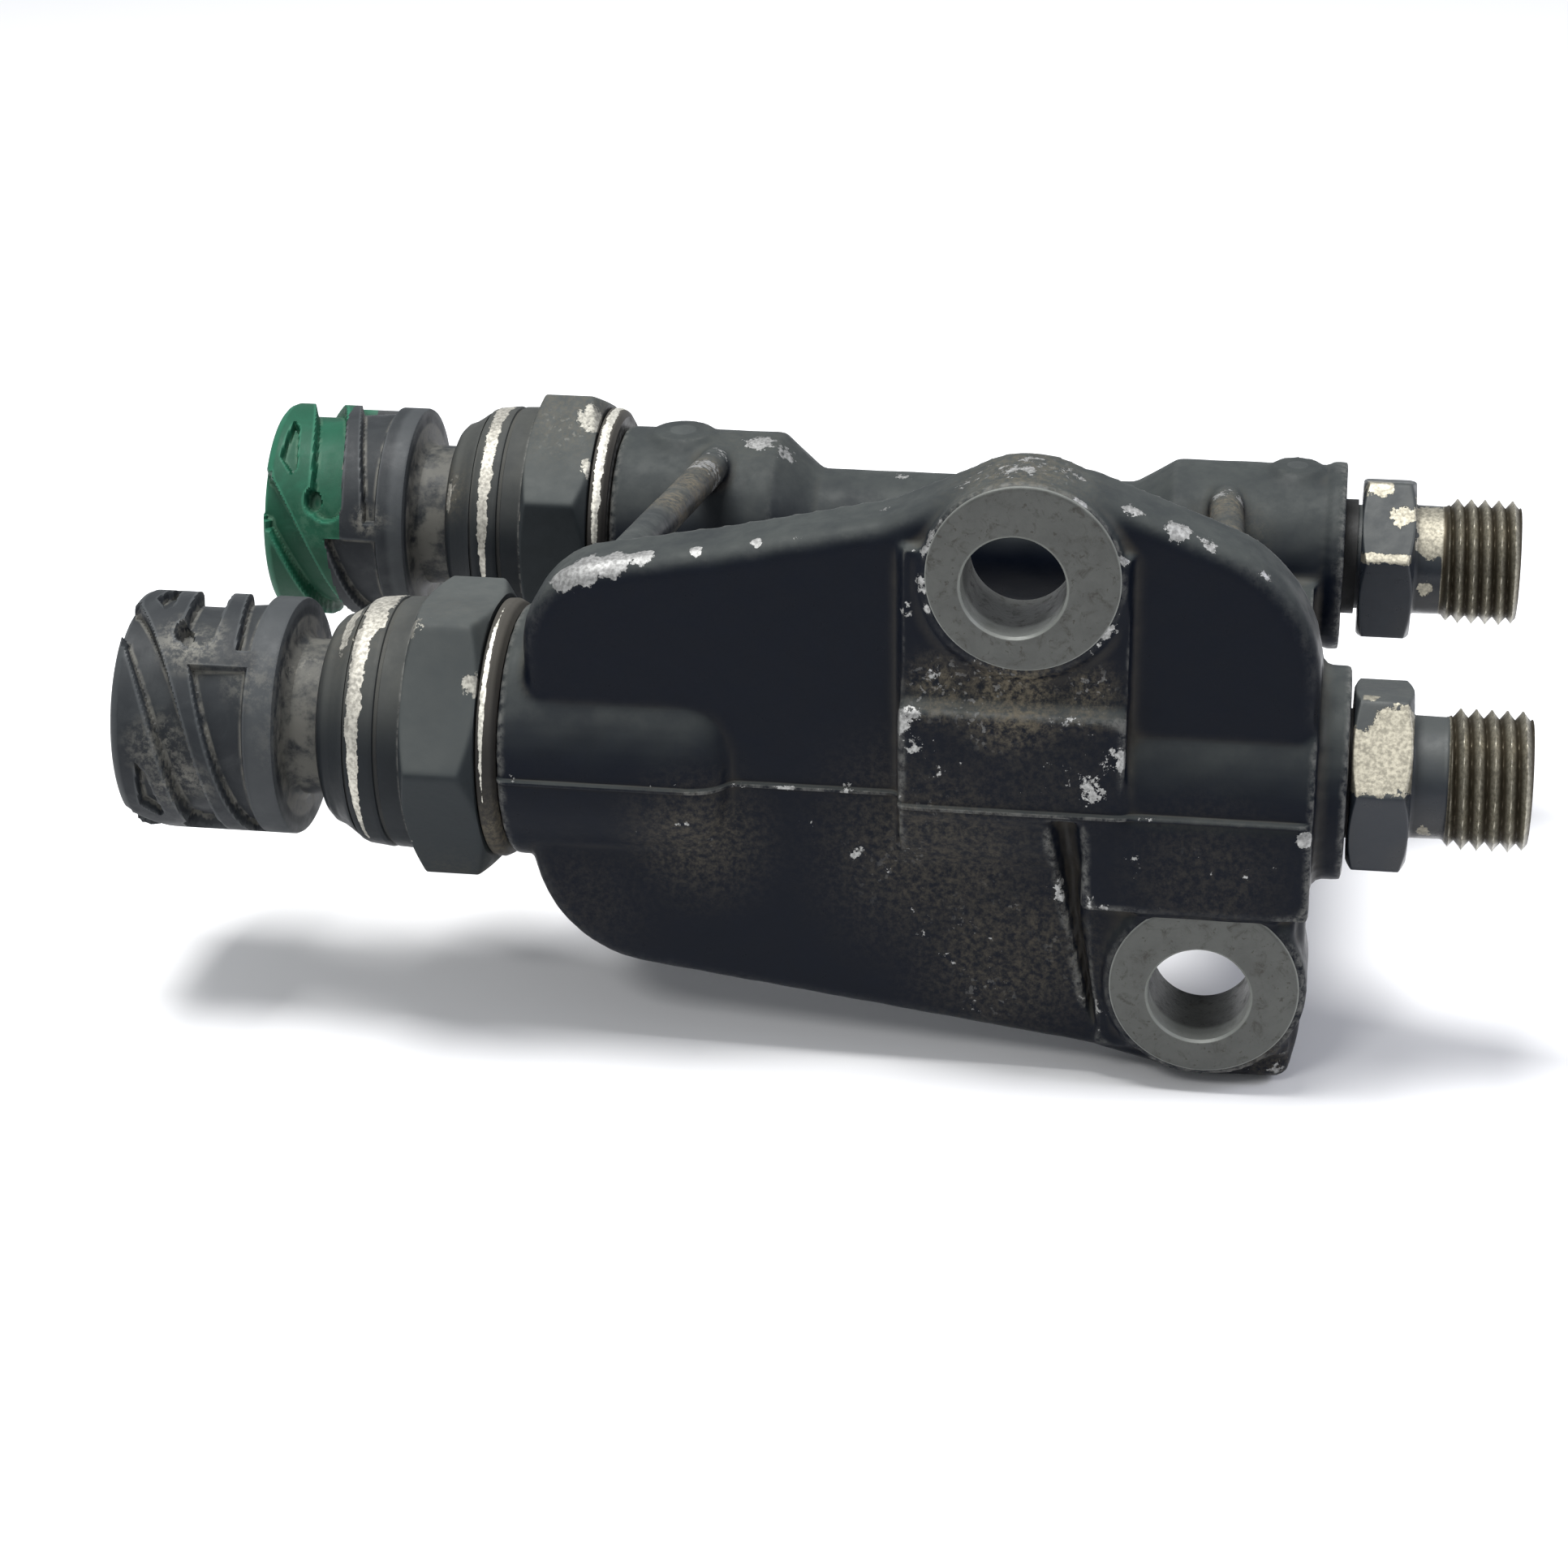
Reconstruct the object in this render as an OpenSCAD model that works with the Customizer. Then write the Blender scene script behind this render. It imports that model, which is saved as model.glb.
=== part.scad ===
// Twin solenoid directional valve: one cast block carries two parallel valve stations.
// Each station lies along X: round bayonet connector at the low end, pipe union at the high end.
// Lengths along a station are measured from the connector's front face; the whole model is then
// moved so that the origin is the upper bolt hole's centre on its machined face.

/* [Valve stations] */
// Distance between the two valve axes, front to rear
axis_gap = 54; // [48:0.5:75]
// Height of the rear valve axis above the front one
rear_rise = 1.4; // [-3:0.1:4]
// Length of the cast block along the valve axes
block_len = 82; // [76:0.5:110]
// Armature and spool travel
stroke = 1.4; // [0.8:0.1:1.6]

/* [Mounting] */
// Distance of the upper bolt hole from the block's solenoid end
upper_hole_x = 50.9; // [46:0.1:54]
// Height of the upper bolt hole above the front valve axis
upper_hole_z = 23; // [21:0.1:28]
// Distance of the lower bolt hole from the block's union end
lower_hole_from_end = 12.1; // [10:0.1:16]
// Depth of the lower bolt hole below the front valve axis
lower_hole_z = 19.4; // [17:0.1:24]
// Bolt hole diameter
bolt_hole_d = 10; // [8.4:0.1:11]
// Machined bolt face diameter
bolt_face_d = 18.6; // [16:0.1:22]
// Distance of the machined bolt faces in front of the front valve axis
bolt_face_y = 12.3; // [11.5:0.1:14]
// Length of a bolt hole
bolt_hole_len = 9.4; // [8:0.1:9.5]

/* [Casting] */
// Front barrel radius
front_barrel_r = 12.8; // [12.2:0.1:14]
// Rear barrel radius at the solenoid end
rear_barrel_r = 11.2; // [10.8:0.1:13]
// Rear barrel radius at the union end
rear_end_r = 10.1; // [9:0.1:12]
// Radius of the waist between the two rear barrels
rear_waist_r = 7.3; // [6.8:0.1:9]
// Web plate thickness
web_t = 7; // [6:0.1:8]
// Radius of the two round cast ties
tie_r = 1.9; // [1.5:0.1:2.4]
// Height of the bridges between the barrels
bridge_h = 10; // [9:0.5:12]

/* [Connector] */
// Outer diameter of the bayonet connector
connector_d = 24.4; // [23.6:0.1:28]
// Length from the connector's front face to the crimp collar
connector_len = 20.6; // [19.6:0.1:28]
// Diameter of the connector's neck
neck_d = 16; // [14:0.1:17]
// Inside diameter of the connector socket
socket_d = 18.8; // [18:0.1:19.4]
// Depth of the connector socket
socket_depth = 12; // [10:0.1:13]
// Depth of the wide mouth that the plug's nose enters
mouth_depth = 6.7; // [6.4:0.1:7.4]
// Contact pin diameter
pin_d = 2.5; // [1.5:0.1:3]
// Contact pin circle diameter
pin_circle_d = 9.6; // [8:0.1:11]

/* [Solenoid] */
// Outer diameter of the crimp collar
collar_d = 25.8; // [25.4:0.1:26.4]
// Length of the crimp collar
collar_len = 9.8; // [9:0.1:12]
// Width across flats of the solenoid hexagon
hex_af = 27; // [26.6:0.1:32]
// Length of the solenoid hexagon
hex_len = 7.5; // [7:0.1:10]
// Thickness of the sealing washer
washer_t = 2.1; // [1:0.1:3]
// Armature diameter
armature_d = 9.2; // [8:0.1:9.6]
// Sheet thickness of the core tube
tube_wall = 0.5; // [0.4:0.05:0.6]
// Diameter of the threaded stem that screws into the block
stem_d = 17.9; // [16:0.1:18.4]

/* [Valve spool] */
// Spool land diameter
spool_d = 6.8; // [5.4:0.1:7.2]
// Outside diameter of the valve sleeve
sleeve_d = 9.8; // [9.6:0.1:10.4]

/* [Pipe unions] */
// Outside diameter of the union thread
thread_d = 14; // [13:0.1:18]
// Pitch of the union thread
thread_pitch = 1.5; // [1:0.25:2]
// Length of the union thread
thread_len = 7.9; // [6:0.1:12]
// Width across flats of the union hexagon
union_af = 17; // [16.4:0.1:22]
// Length of the union hexagon
union_hex_len = 5.8; // [5:0.1:8]
// Length of the union's plain shank
shank_len = 3.7; // [3:0.1:9]
// Bore of the union
union_bore_d = 7; // [5:0.1:8]
// Thickness of the union seal
union_seal_t = 1.4; // [1:0.1:2]

/* [Fits] */
// Radial clearance of the armature and the spool
running_gap = 0.05; // [0.02:0.01:0.1]
// Radial clearance of fixed pieces in their seats
seat_gap = 0.05; // [0.02:0.01:0.1]
// Gap left at the end of a moving piece's travel
stop_gap = 0.2; // [0.15:0.05:0.3]

/* [Hidden] */
$fn = 96;

// Stations along X, from the connector's front face
collar_x = connector_len;
hex_x = collar_x + collar_len;
washer_x = hex_x + hex_len;
block_x = washer_x + washer_t;
block_end = block_x + block_len;
union_x = block_end + union_seal_t;
shank_x = union_x + union_hex_len;
thread_x = shank_x + shank_len;
tip_x = thread_x + thread_len;

// Connector
connector_r = connector_d / 2;
groove_depth = 1.5;
groove_w = 3.4;
groove_run = 6.6;
groove_turn = 100;
groove_steps = 7;
sleeve_split_x = 6.2;
rib_x = 8.2;
rib_w = 2.4;
rib_recess = 0.6;
flange_x = 13.1;
flange_w = 3.7;
flange_inside_w = 0.8;
socket_step = 0.3;
seal_t = 1.2;
pin_tip_x = mouth_depth + 0.2;
pin_taper = 0.8;

// Solenoid, from the inside of the collar to the core tube
collar_wall = 1.2;
collar_floor = 1;
collar_shoulder = 3;
collar_taper = 2.2;
collar_taper_len = 3.2;
collar_mouth_r = neck_d / 2 + seat_gap;
collar_bore_r = collar_d / 2 - collar_wall;
case_spigot_len = 2.6;
collar_inner_x = collar_x + collar_floor + collar_taper_len;
coil_x = collar_inner_x + flange_inside_w + 2 * seat_gap;
case_floor = 1.6;
coil_end = washer_x - case_floor;
case_bore_r = collar_bore_r - 0.9;
bobbin_flange_r = case_bore_r - 4 * seat_gap;
bobbin_flange_t = 0.9;
tube_bore_r = armature_d / 2 + running_gap;
tube_r = tube_bore_r + tube_wall;
bobbin_bore_r = tube_r + seat_gap;
winding_bore_r = bobbin_bore_r + 0.9;
winding_r = bobbin_flange_r - 0.6;
stem_len = 14;
stem_end = block_x + stem_len;
socket_end = stem_end + 0.5;
tube_end = socket_end - 2 * seat_gap;
pole_len = 6.4;
pole_end = coil_x + pole_len;
armature_x = pole_end + stroke + stop_gap;
armature_len = 15.4;
armature_end = armature_x + armature_len;
spring_r = 2.1;
spring_wire_r = 0.3;
spring_pocket_r = spring_r + spring_wire_r + 0.25;
spring_seat_depth = 3;
spring_pocket_depth = 5;
spring_turns = 6;

// Valve spool and sleeve
sleeve_x = tube_end + 0.4;
port_x = block_end - 16;
sleeve_end = port_x - 3.6;
sleeve_bore_r = spool_d / 2 + running_gap;
valve_bore_r = sleeve_d / 2 + seat_gap;
sleeve_len = sleeve_end - sleeve_x;
land_len = sleeve_len * 0.14;
stem_rod_r = 1.5;
spool_waist_r = 2;
sleeve_port_r = 1.3;
ring_groove_floor_t = 0.2;
ring_groove_depth = sleeve_d / 2 - sleeve_bore_r - ring_groove_floor_t;
ring_r = (ring_groove_depth - seat_gap) / 2;
ring_side_gap = 0.1;
ring_bore_gap = 0.02;
ring_spacing = sleeve_len * 0.3;

// Pipe union
union_stem_r = 5.8;
union_stem_len = 11;
union_seal_r = union_stem_r + 0.6;
stem_bore_r = union_bore_d / 2 - 0.4;
bore_step = 0.2;
bore_chamfer = 1.2;
port_bore_r = union_stem_r + seat_gap;
thread_r = thread_d / 2;
thread_depth = 0.61 * thread_pitch;
shank_r = thread_r - thread_depth - 0.1;

// Casting
web_front = bolt_face_y - 2.1;
web_back = web_front - web_t;
hole_back = bolt_face_y - bolt_hole_len;
pad_front = bolt_face_y + 0.5;
column_front = bolt_face_y - 0.6;
boss_shift = 0.9;
hole_x = block_x + upper_hole_x;
low_hole_x = block_end - lower_hole_from_end;
bolt_face_r = bolt_face_d / 2;
barrel_len = 20;
waist_start = block_x + 22.5;
waist_end = block_end - 23.5;
cone_len = 4.5;
pad_x = hole_x - 10.9;
pad_w = 22;
pad_top = upper_hole_z - 12.4;
low_pad_x = block_end - 24;
low_pad_bottom = lower_hole_z - 8.1;
edge_x = block_end - 1.9;
rim_r = 10.6;
rear_flange_r = 10.4;
rear_flange_t = 1.6;
rim_lip = 1.1;
bridge_top = 2;
bridge_x = block_x + 4;
bridge_w = 20;
bridge2_w = 15;
bridge2_x = block_end - 3 - bridge2_w;
gallery_r = 2.2;
supply_x = bridge_x + 14;
supply_r = 5.1;
supply_depth = 7;
dome_x = block_x + 7;
dome_r = 3.2;
dome2_x = block_end - 5.6;
dome2_r = 2.6;
dome_rise = 0.55;
dome_seat = 0.9;
eps = 0.01;

module to_bolt_origin() {
    translate([-hole_x, bolt_face_y, -upper_hole_z]) children();
}

module front_station() {
    to_bolt_origin() children();
}

module rear_station() {
    to_bolt_origin() translate([0, axis_gap, rear_rise]) children();
}

// A cylinder along X from x to x + len
module rod(x, len, r, r_end = -1, fn = $fn) {
    translate([x, 0, 0])
    rotate([0, 90, 0])
    cylinder(h = len, r1 = r, r2 = r_end < 0 ? r : r_end, $fn = fn);
}

// A ring along X
module ring(x, len, r, bore) {
    difference() {
        rod(x, len, r);
        rod(x - eps, len + 2 * eps, bore);
    }
}

// A turned shape: the profile's points are [distance along X, radius]
module turned(points) {
    rotate([0, 90, 0])
    rotate_extrude()
    polygon([for (p = points) [p[1], p[0]]]);
}

// A hexagon bar along X with both ends chamfered
module hex_bar(x, len, af, turn, chamfer) {
    corner_r = af / 2 / cos(30);
    intersection() {
        rotate([turn, 0, 0]) rod(x, len, corner_r, fn = 6);
        turned([[x, 0], [x, corner_r - chamfer], [x + chamfer / 2, corner_r + 0.2],
            [x + len - chamfer / 2, corner_r + 0.2], [x + len, corner_r - chamfer], [x + len, 0]]);
    }
}

// A round hole or boss along Y; y is the end nearest the mounting face
module cross_rod(x, z, y, len, r) {
    translate([x, y, z]) rotate([-90, 0, 0]) cylinder(h = len, r = r);
}

// An O-ring around a station axis
module o_ring(x, mid_r, section_r) {
    translate([x, 0, 0])
    rotate([0, 90, 0])
    rotate_extrude()
    translate([mid_r, 0])
    circle(r = section_r, $fn = 32);
}

// ---- Casting -------------------------------------------------------------------------------

function arc(cx, cz, r, from, to, steps = 8) =
    [for (i = [0 : steps]) let (a = from + (to - from) * i / steps) [cx + r * cos(a), cz + r * sin(a)]];

// Outline of the web plate in X and Z, anticlockwise from the lower left lobe
web_left = block_x + 2.4;
web_corner_r = 5.5;
low_corner_r = 11;
low_lobe_z = 10.3;
slope_low = 6;
web_outline = concat(
    arc(web_left + low_corner_r + 0.2, -low_lobe_z, low_corner_r, 184, 262),
    [[low_pad_x + 1, -lower_hole_z - 8]],
    arc(low_hole_x + boss_shift, -lower_hole_z + boss_shift, bolt_face_r + 2.2, 245, 270, 4),
    [[edge_x - 1.2, -lower_hole_z - 10.3], [edge_x - 0.4, -lower_hole_z - slope_low],
        [edge_x, -lower_hole_z - slope_low + 2]],
    arc(edge_x - 9, upper_hole_z - 6.5, 9, 0, 60),
    [[low_hole_x + 1.7, upper_hole_z + 3.5]],
    arc(hole_x + boss_shift, upper_hole_z + boss_shift, bolt_face_r + 0.4, 60, 122),
    [[pad_x - 1, upper_hole_z + 5.4], [web_left + 20, upper_hole_z + 1.6]],
    arc(web_left + web_corner_r, upper_hole_z - 1.2 - web_corner_r, web_corner_r, 102, 180));

module web_plate() {
    translate([0, -web_back, 0])
    rotate([90, 0, 0])
    linear_extrude(height = web_t)
    polygon(web_outline);
}

module front_barrel() {
    rod(block_x, barrel_len, front_barrel_r);
    rod(block_x + barrel_len, 2.5, front_barrel_r, web_front - 0.4);
    rod(block_x + barrel_len, pad_x - block_x - barrel_len + 1, web_front - 0.4);
    rod(pad_x, edge_x - pad_x, front_barrel_r - 0.2);
    rod(edge_x - eps, block_end + rim_lip - edge_x + eps, rim_r);
}

module rear_barrel() {
    translate([0, axis_gap, rear_rise]) {
        rod(block_x, waist_start - cone_len - block_x, rear_barrel_r);
        rod(waist_start - cone_len - eps, cone_len + 2 * eps, rear_barrel_r, rear_waist_r);
        rod(waist_start, waist_end - waist_start, rear_waist_r);
        rod(waist_end - eps, cone_len + 2 * eps, rear_waist_r, rear_end_r);
        rod(waist_end + cone_len, block_end - rear_flange_t - waist_end - cone_len, rear_end_r);
        rod(block_end - rear_flange_t - eps, rear_flange_t + eps, rear_flange_r);
    }
}

module bolt_bosses() {
    cross_rod(hole_x + boss_shift, upper_hole_z + boss_shift, -bolt_face_y, bolt_hole_len, bolt_face_r);
    translate([pad_x, -column_front, pad_top - 1])
        cube([pad_w, column_front - web_back, upper_hole_z - pad_top + 3]);
    translate([pad_x, -pad_front, -1]) cube([pad_w, pad_front - web_back, pad_top + 1]);
    cross_rod(low_hole_x + boss_shift / 2, -lower_hole_z + boss_shift, -bolt_face_y, bolt_hole_len, bolt_face_r);
    translate([low_pad_x, -pad_front, -low_pad_bottom])
        cube([edge_x - low_pad_x, pad_front - web_back, low_pad_bottom - 0.8]);
    translate([low_pad_x - 1.2, -column_front + 0.9, -lower_hole_z - 7])
        cube([edge_x - low_pad_x + 1, column_front - 0.9 - web_back, lower_hole_z + 6]);
}

module bridges() {
    translate([bridge_x, 0, bridge_top - bridge_h]) cube([bridge_w, axis_gap, bridge_h]);
    translate([bridge2_x, 0, bridge_top - bridge_h]) cube([bridge2_w, axis_gap, bridge_h]);
}

// A round tie between two points
module tie(a, b) {
    d = b - a;
    translate(a)
    rotate([0, acos(d[2] / norm(d)), atan2(d[1], d[0])])
    cylinder(h = norm(d), r = tie_r);
}

module ties() {
    tie([block_x + 11.5, -hole_back - 1, upper_hole_z - 2.7], [block_x + 11.5, axis_gap - 3, rear_rise + 9.2]);
    tie([block_end - 10.6, -hole_back - 1, upper_hole_z - 10], [block_end - 13.4, axis_gap - 1, rear_rise + 7.6]);
}

// Everything that is drilled from a station's two ends
module station_bores() {
    rod(block_x - 1, socket_end - block_x + 1, stem_d / 2 + seat_gap);
    rod(block_x + stem_len, block_len - stem_len, valve_bore_r);
    rod(port_x, block_end - port_x + 1, port_bore_r);
}

module valve_block_body() {
    difference() {
        union() {
            web_plate();
            front_barrel();
            rear_barrel();
            bolt_bosses();
            bridges();
            ties();
        }
        station_bores();
        rod(block_end, rim_lip + 1, union_seal_r + seat_gap);
        translate([0, axis_gap, rear_rise]) station_bores();
        cross_rod(hole_x, upper_hole_z, -pad_front - 1, bolt_hole_len + 3, bolt_hole_d / 2);
        cross_rod(low_hole_x, -lower_hole_z, -pad_front - 1, bolt_hole_len + 3, bolt_hole_d / 2);
        // Recess between the lower pad and the lower lobe
        translate([low_pad_x - 3.5, -pad_front - 1, -low_pad_bottom])
            cube([3.5, pad_front - web_front + 3, low_pad_bottom - 1.2]);
        // Cross gallery and the supply port that feeds it from below
        cross_rod(supply_x, -supply_depth + 5, 0, axis_gap, gallery_r);
        translate([supply_x, axis_gap / 2, bridge_top - bridge_h - 1]) cylinder(h = supply_depth + 1, r = supply_r);
        // Outlet gallery, drilled through the right bridge
        cross_rod(port_x + 5.5, -2, 0, axis_gap, gallery_r - 0.4);
        // Seats of the two gallery plugs
        translate([dome_x, axis_gap, rear_rise + rear_barrel_r - dome_seat]) cylinder(h = 5, r = dome_r + seat_gap);
        translate([dome2_x, axis_gap, rear_rise + rear_end_r - dome_seat]) cylinder(h = 5, r = dome2_r + seat_gap);
        translate([dome2_x, axis_gap, rear_rise]) cylinder(h = rear_end_r, r = 1.2);
    }
}

module valve_block() {
    color([0.16, 0.17, 0.17]) to_bolt_origin() valve_block_body();
}

module domed_plug(r, top) {
    rotate_extrude()
    polygon(concat([[0, 0], [r, 0], [r, top * 0.7]],
        [for (i = [1 : 6]) [r * cos(i * 15), top * (0.7 + 0.3 * sin(i * 15))]]));
}

module gallery_plugs() {
    color([0.3, 0.31, 0.3])
    to_bolt_origin()
    translate([0, axis_gap, rear_rise]) {
        translate([dome_x, 0, rear_barrel_r - dome_seat]) domed_plug(dome_r, dome_seat + dome_rise);
        translate([dome2_x, 0, rear_end_r - dome_seat]) domed_plug(dome2_r, dome_seat + dome_rise);
    }
}

// ---- Connector -----------------------------------------------------------------------------

module bayonet_groove(turn) {
    step = groove_turn / groove_steps;
    for (i = [0 : groove_steps])
        rotate([turn + i * step, 0, 0])
        translate([-0.8 + groove_run * sin(90 * i / groove_steps), 0, connector_r - groove_depth])
        translate([0, -groove_w, 0])
        cube([groove_w, 2 * groove_w, groove_depth + 2]);
}

module connector_shell() {
    turned([[0, 0], [0, connector_r - 0.9], [0.9, connector_r], [rib_x - 1.2, connector_r],
        [rib_x - 1.2, connector_r - rib_recess], [rib_x, connector_r - rib_recess], [rib_x, connector_r],
        [rib_x + rib_w, connector_r], [rib_x + rib_w, connector_r - rib_recess * 1.6],
        [flange_x, connector_r - rib_recess * 1.6], [flange_x, connector_r],
        [flange_x + flange_w, connector_r], [flange_x + flange_w + 0.6, neck_d / 2],
        [collar_x + collar_floor + seat_gap, neck_d / 2],
        [collar_x + collar_floor + seat_gap, collar_bore_r - collar_taper - seat_gap],
        [collar_inner_x + seat_gap, collar_bore_r - seat_gap],
        [coil_x - seat_gap, collar_bore_r - seat_gap], [coil_x - seat_gap, 0]]);
}

module pin_places() {
    for (a = [45 : 90 : 315])
        rotate([a, 0, 0]) translate([0, 0, pin_circle_d / 2]) children();
}

module connector_blank() {
    difference() {
        connector_shell();
        rod(-1, mouth_depth + 1, socket_d / 2);
        rod(0, socket_depth, socket_d / 2 - socket_step);
        for (turn = [0, 120, 240]) bayonet_groove(turn);
        pin_places() rod(socket_depth - 1, coil_x, pin_d / 2);
    }
}

module front_connector_housing() {
    color([0.2, 0.21, 0.22]) front_station() connector_blank();
}

// The rear housing's front part is a separate green coding sleeve that covers the grooves
module rear_connector_housing() {
    color([0.2, 0.21, 0.22])
    rear_station()
    difference() {
        connector_blank();
        rod(-1, sleeve_split_x + 1, connector_r + 2);
    }
}

module rear_bayonet_sleeve() {
    color([0.1, 0.38, 0.26])
    rear_station()
    intersection() {
        connector_blank();
        rod(-1, sleeve_split_x + 1, connector_r + 2);
    }
}

module contact_pins() {
    color([0.72, 0.7, 0.62])
    pin_places() {
        rod(pin_tip_x + pin_taper, coil_x - seat_gap - pin_tip_x - pin_taper, pin_d / 2);
        rod(pin_tip_x, pin_taper + eps, pin_d / 2 - pin_taper / 2, pin_d / 2);
    }
}

module front_contact_pins() { front_station() contact_pins(); }
module rear_contact_pins() { rear_station() contact_pins(); }

// Flat rubber seal on the floor of the socket, with a hole for each pin
module connector_seal() {
    color([0.75, 0.35, 0.15])
    difference() {
        rod(socket_depth - seal_t, seal_t, socket_d / 2 - socket_step - seat_gap);
        pin_places() rod(socket_depth - seal_t - 1, seal_t + 2, pin_d / 2);
    }
}

module front_connector_seal() { front_station() connector_seal(); }
module rear_connector_seal() { rear_station() connector_seal(); }

// ---- Solenoid ------------------------------------------------------------------------------

module crimp_collar() {
    r = collar_d / 2;
    color([0.24, 0.25, 0.25])
    turned([[collar_x, collar_mouth_r], [collar_x, r - collar_shoulder],
        [collar_x + collar_shoulder * 0.4, r - collar_shoulder * 0.65],
        [collar_x + collar_shoulder, r - collar_shoulder * 0.28],
        [collar_x + collar_shoulder * 1.5, r - collar_shoulder * 0.08], [collar_x + collar_shoulder * 2, r],
        [hex_x, r], [hex_x, collar_bore_r], [collar_inner_x, collar_bore_r],
        [collar_x + collar_floor, collar_bore_r - collar_taper], [collar_x + collar_floor, collar_mouth_r]]);
}

module front_crimp_collar() { front_station() crimp_collar(); }
module rear_crimp_collar() { rear_station() crimp_collar(); }

// Hexagon body with a spigot for the collar and a threaded stem for the block
module solenoid_case(turn) {
    color([0.26, 0.27, 0.26])
    difference() {
        union() {
            hex_bar(hex_x, hex_len, hex_af, turn, 1.6);
            rod(hex_x - case_spigot_len, case_spigot_len + eps, collar_bore_r - seat_gap);
            rod(washer_x - eps, washer_t + stem_len - 0.6 + eps, stem_d / 2);
            rod(stem_end - 0.6, 0.6, stem_d / 2, stem_d / 2 - 0.6);
        }
        rod(hex_x - case_spigot_len - 1, coil_end - hex_x + case_spigot_len + 1, case_bore_r);
        rod(hex_x, stem_end - hex_x + 1, tube_r + seat_gap);
        turned([[stem_end - 4.4, stem_d / 2 - 1.3], [stem_end - 4.4, stem_d / 2 + 1],
            [stem_end - 2.4, stem_d / 2 + 1], [stem_end - 2.4, stem_d / 2 - 1.3]]);
    }
}

front_hex_turn = 25.6;
rear_hex_turn = 2;

module front_solenoid_case() { front_station() solenoid_case(front_hex_turn); }
module rear_solenoid_case() { rear_station() solenoid_case(rear_hex_turn); }

module sealing_washer() {
    color([0.75, 0.74, 0.68]) ring(washer_x, washer_t, hex_af / 2 - 0.3, stem_d / 2 + 3 * seat_gap);
}

module front_sealing_washer() { front_station() sealing_washer(); }
module rear_sealing_washer() { rear_station() sealing_washer(); }

// Rubber ring between the threaded stem and the block
module stem_seal() {
    color([0.1, 0.1, 0.1]) o_ring(stem_end - 3.4, stem_d / 2 - 0.65, 0.62);
}

module front_stem_seal() { front_station() stem_seal(); }
module rear_stem_seal() { rear_station() stem_seal(); }

module coil_bobbin() {
    color([0.85, 0.82, 0.72])
    turned([[coil_x, bobbin_bore_r], [coil_x, bobbin_flange_r], [coil_x + bobbin_flange_t, bobbin_flange_r],
        [coil_x + bobbin_flange_t, winding_bore_r], [coil_end - bobbin_flange_t, winding_bore_r],
        [coil_end - bobbin_flange_t, bobbin_flange_r], [coil_end, bobbin_flange_r], [coil_end, bobbin_bore_r]]);
}

module front_coil_bobbin() { front_station() coil_bobbin(); }
module rear_coil_bobbin() { rear_station() coil_bobbin(); }

module coil_winding() {
    color([0.72, 0.4, 0.2])
    ring(coil_x + bobbin_flange_t, coil_end - coil_x - 2 * bobbin_flange_t, winding_r, winding_bore_r);
}

module front_coil_winding() { front_station() coil_winding(); }
module rear_coil_winding() { rear_station() coil_winding(); }

module core_tube() {
    color([0.7, 0.71, 0.72]) ring(coil_x, tube_end - coil_x, tube_r, tube_bore_r);
}

module front_core_tube() { front_station() core_tube(); }
module rear_core_tube() { rear_station() core_tube(); }

module pole_core() {
    color([0.55, 0.56, 0.57])
    difference() {
        rod(coil_x, pole_len, tube_bore_r);
        rod(pole_end - spring_seat_depth, spring_seat_depth + 1, spring_pocket_r);
    }
}

module front_pole_core() { front_station() pole_core(); }
module rear_pole_core() { rear_station() pole_core(); }

module armature() {
    color([0.6, 0.6, 0.58])
    difference() {
        rod(armature_x, armature_len, armature_d / 2);
        rod(armature_x - 1, spring_pocket_depth + 1, spring_pocket_r);
        for (side = [0, 180])
            rotate([side, 0, 0])
            translate([armature_x - 1, -0.6, armature_d / 2 - 0.7])
            cube([armature_len + 2, 1.2, 2]);
        rod(armature_end - 3, 4, stem_rod_r);
    }
}

module front_armature() { front_station() armature(); }
module rear_armature() { rear_station() armature(); }

// A closed round wire along the points, with the given number of sides
module wire(points, r, sides) {
    n = len(points);
    rings = [for (i = [0 : n - 1])
        let (d = points[min(i + 1, n - 1)] - points[max(i - 1, 0)],
            t = d / norm(d),
            u = cross(t, [1, 0, 0]) / norm(cross(t, [1, 0, 0])),
            v = cross(t, u))
        for (k = [0 : sides - 1]) points[i] + r * (cos(360 * k / sides) * u + sin(360 * k / sides) * v)];
    walls = [for (i = [0 : n - 2], k = [0 : sides - 1])
        [i * sides + k, i * sides + (k + 1) % sides, (i + 1) * sides + (k + 1) % sides, (i + 1) * sides + k]];
    ends = [[for (k = [sides - 1 : -1 : 0]) k], [for (k = [0 : sides - 1]) (n - 1) * sides + k]];
    polyhedron(rings, concat(walls, ends));
}

spring_x = pole_end - spring_seat_depth + 0.1 + spring_wire_r;
spring_end = armature_x + spring_pocket_depth - 0.1 - spring_wire_r;
spring_path = [for (i = [0 : spring_turns * 16])
    [spring_x + (spring_end - spring_x) * i / (spring_turns * 16),
        spring_r * cos(i * 22.5), spring_r * sin(i * 22.5)]];

module return_spring() {
    color([0.6, 0.62, 0.65]) wire(spring_path, spring_wire_r, 8);
}

module front_return_spring() { front_station() return_spring(); }
module rear_return_spring() { rear_station() return_spring(); }

// ---- Valve ---------------------------------------------------------------------------------

spool_end = sleeve_end - 1.5;
land_starts = [sleeve_x + 2, (sleeve_x + sleeve_end - land_len) / 2, spool_end - land_len];

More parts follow.
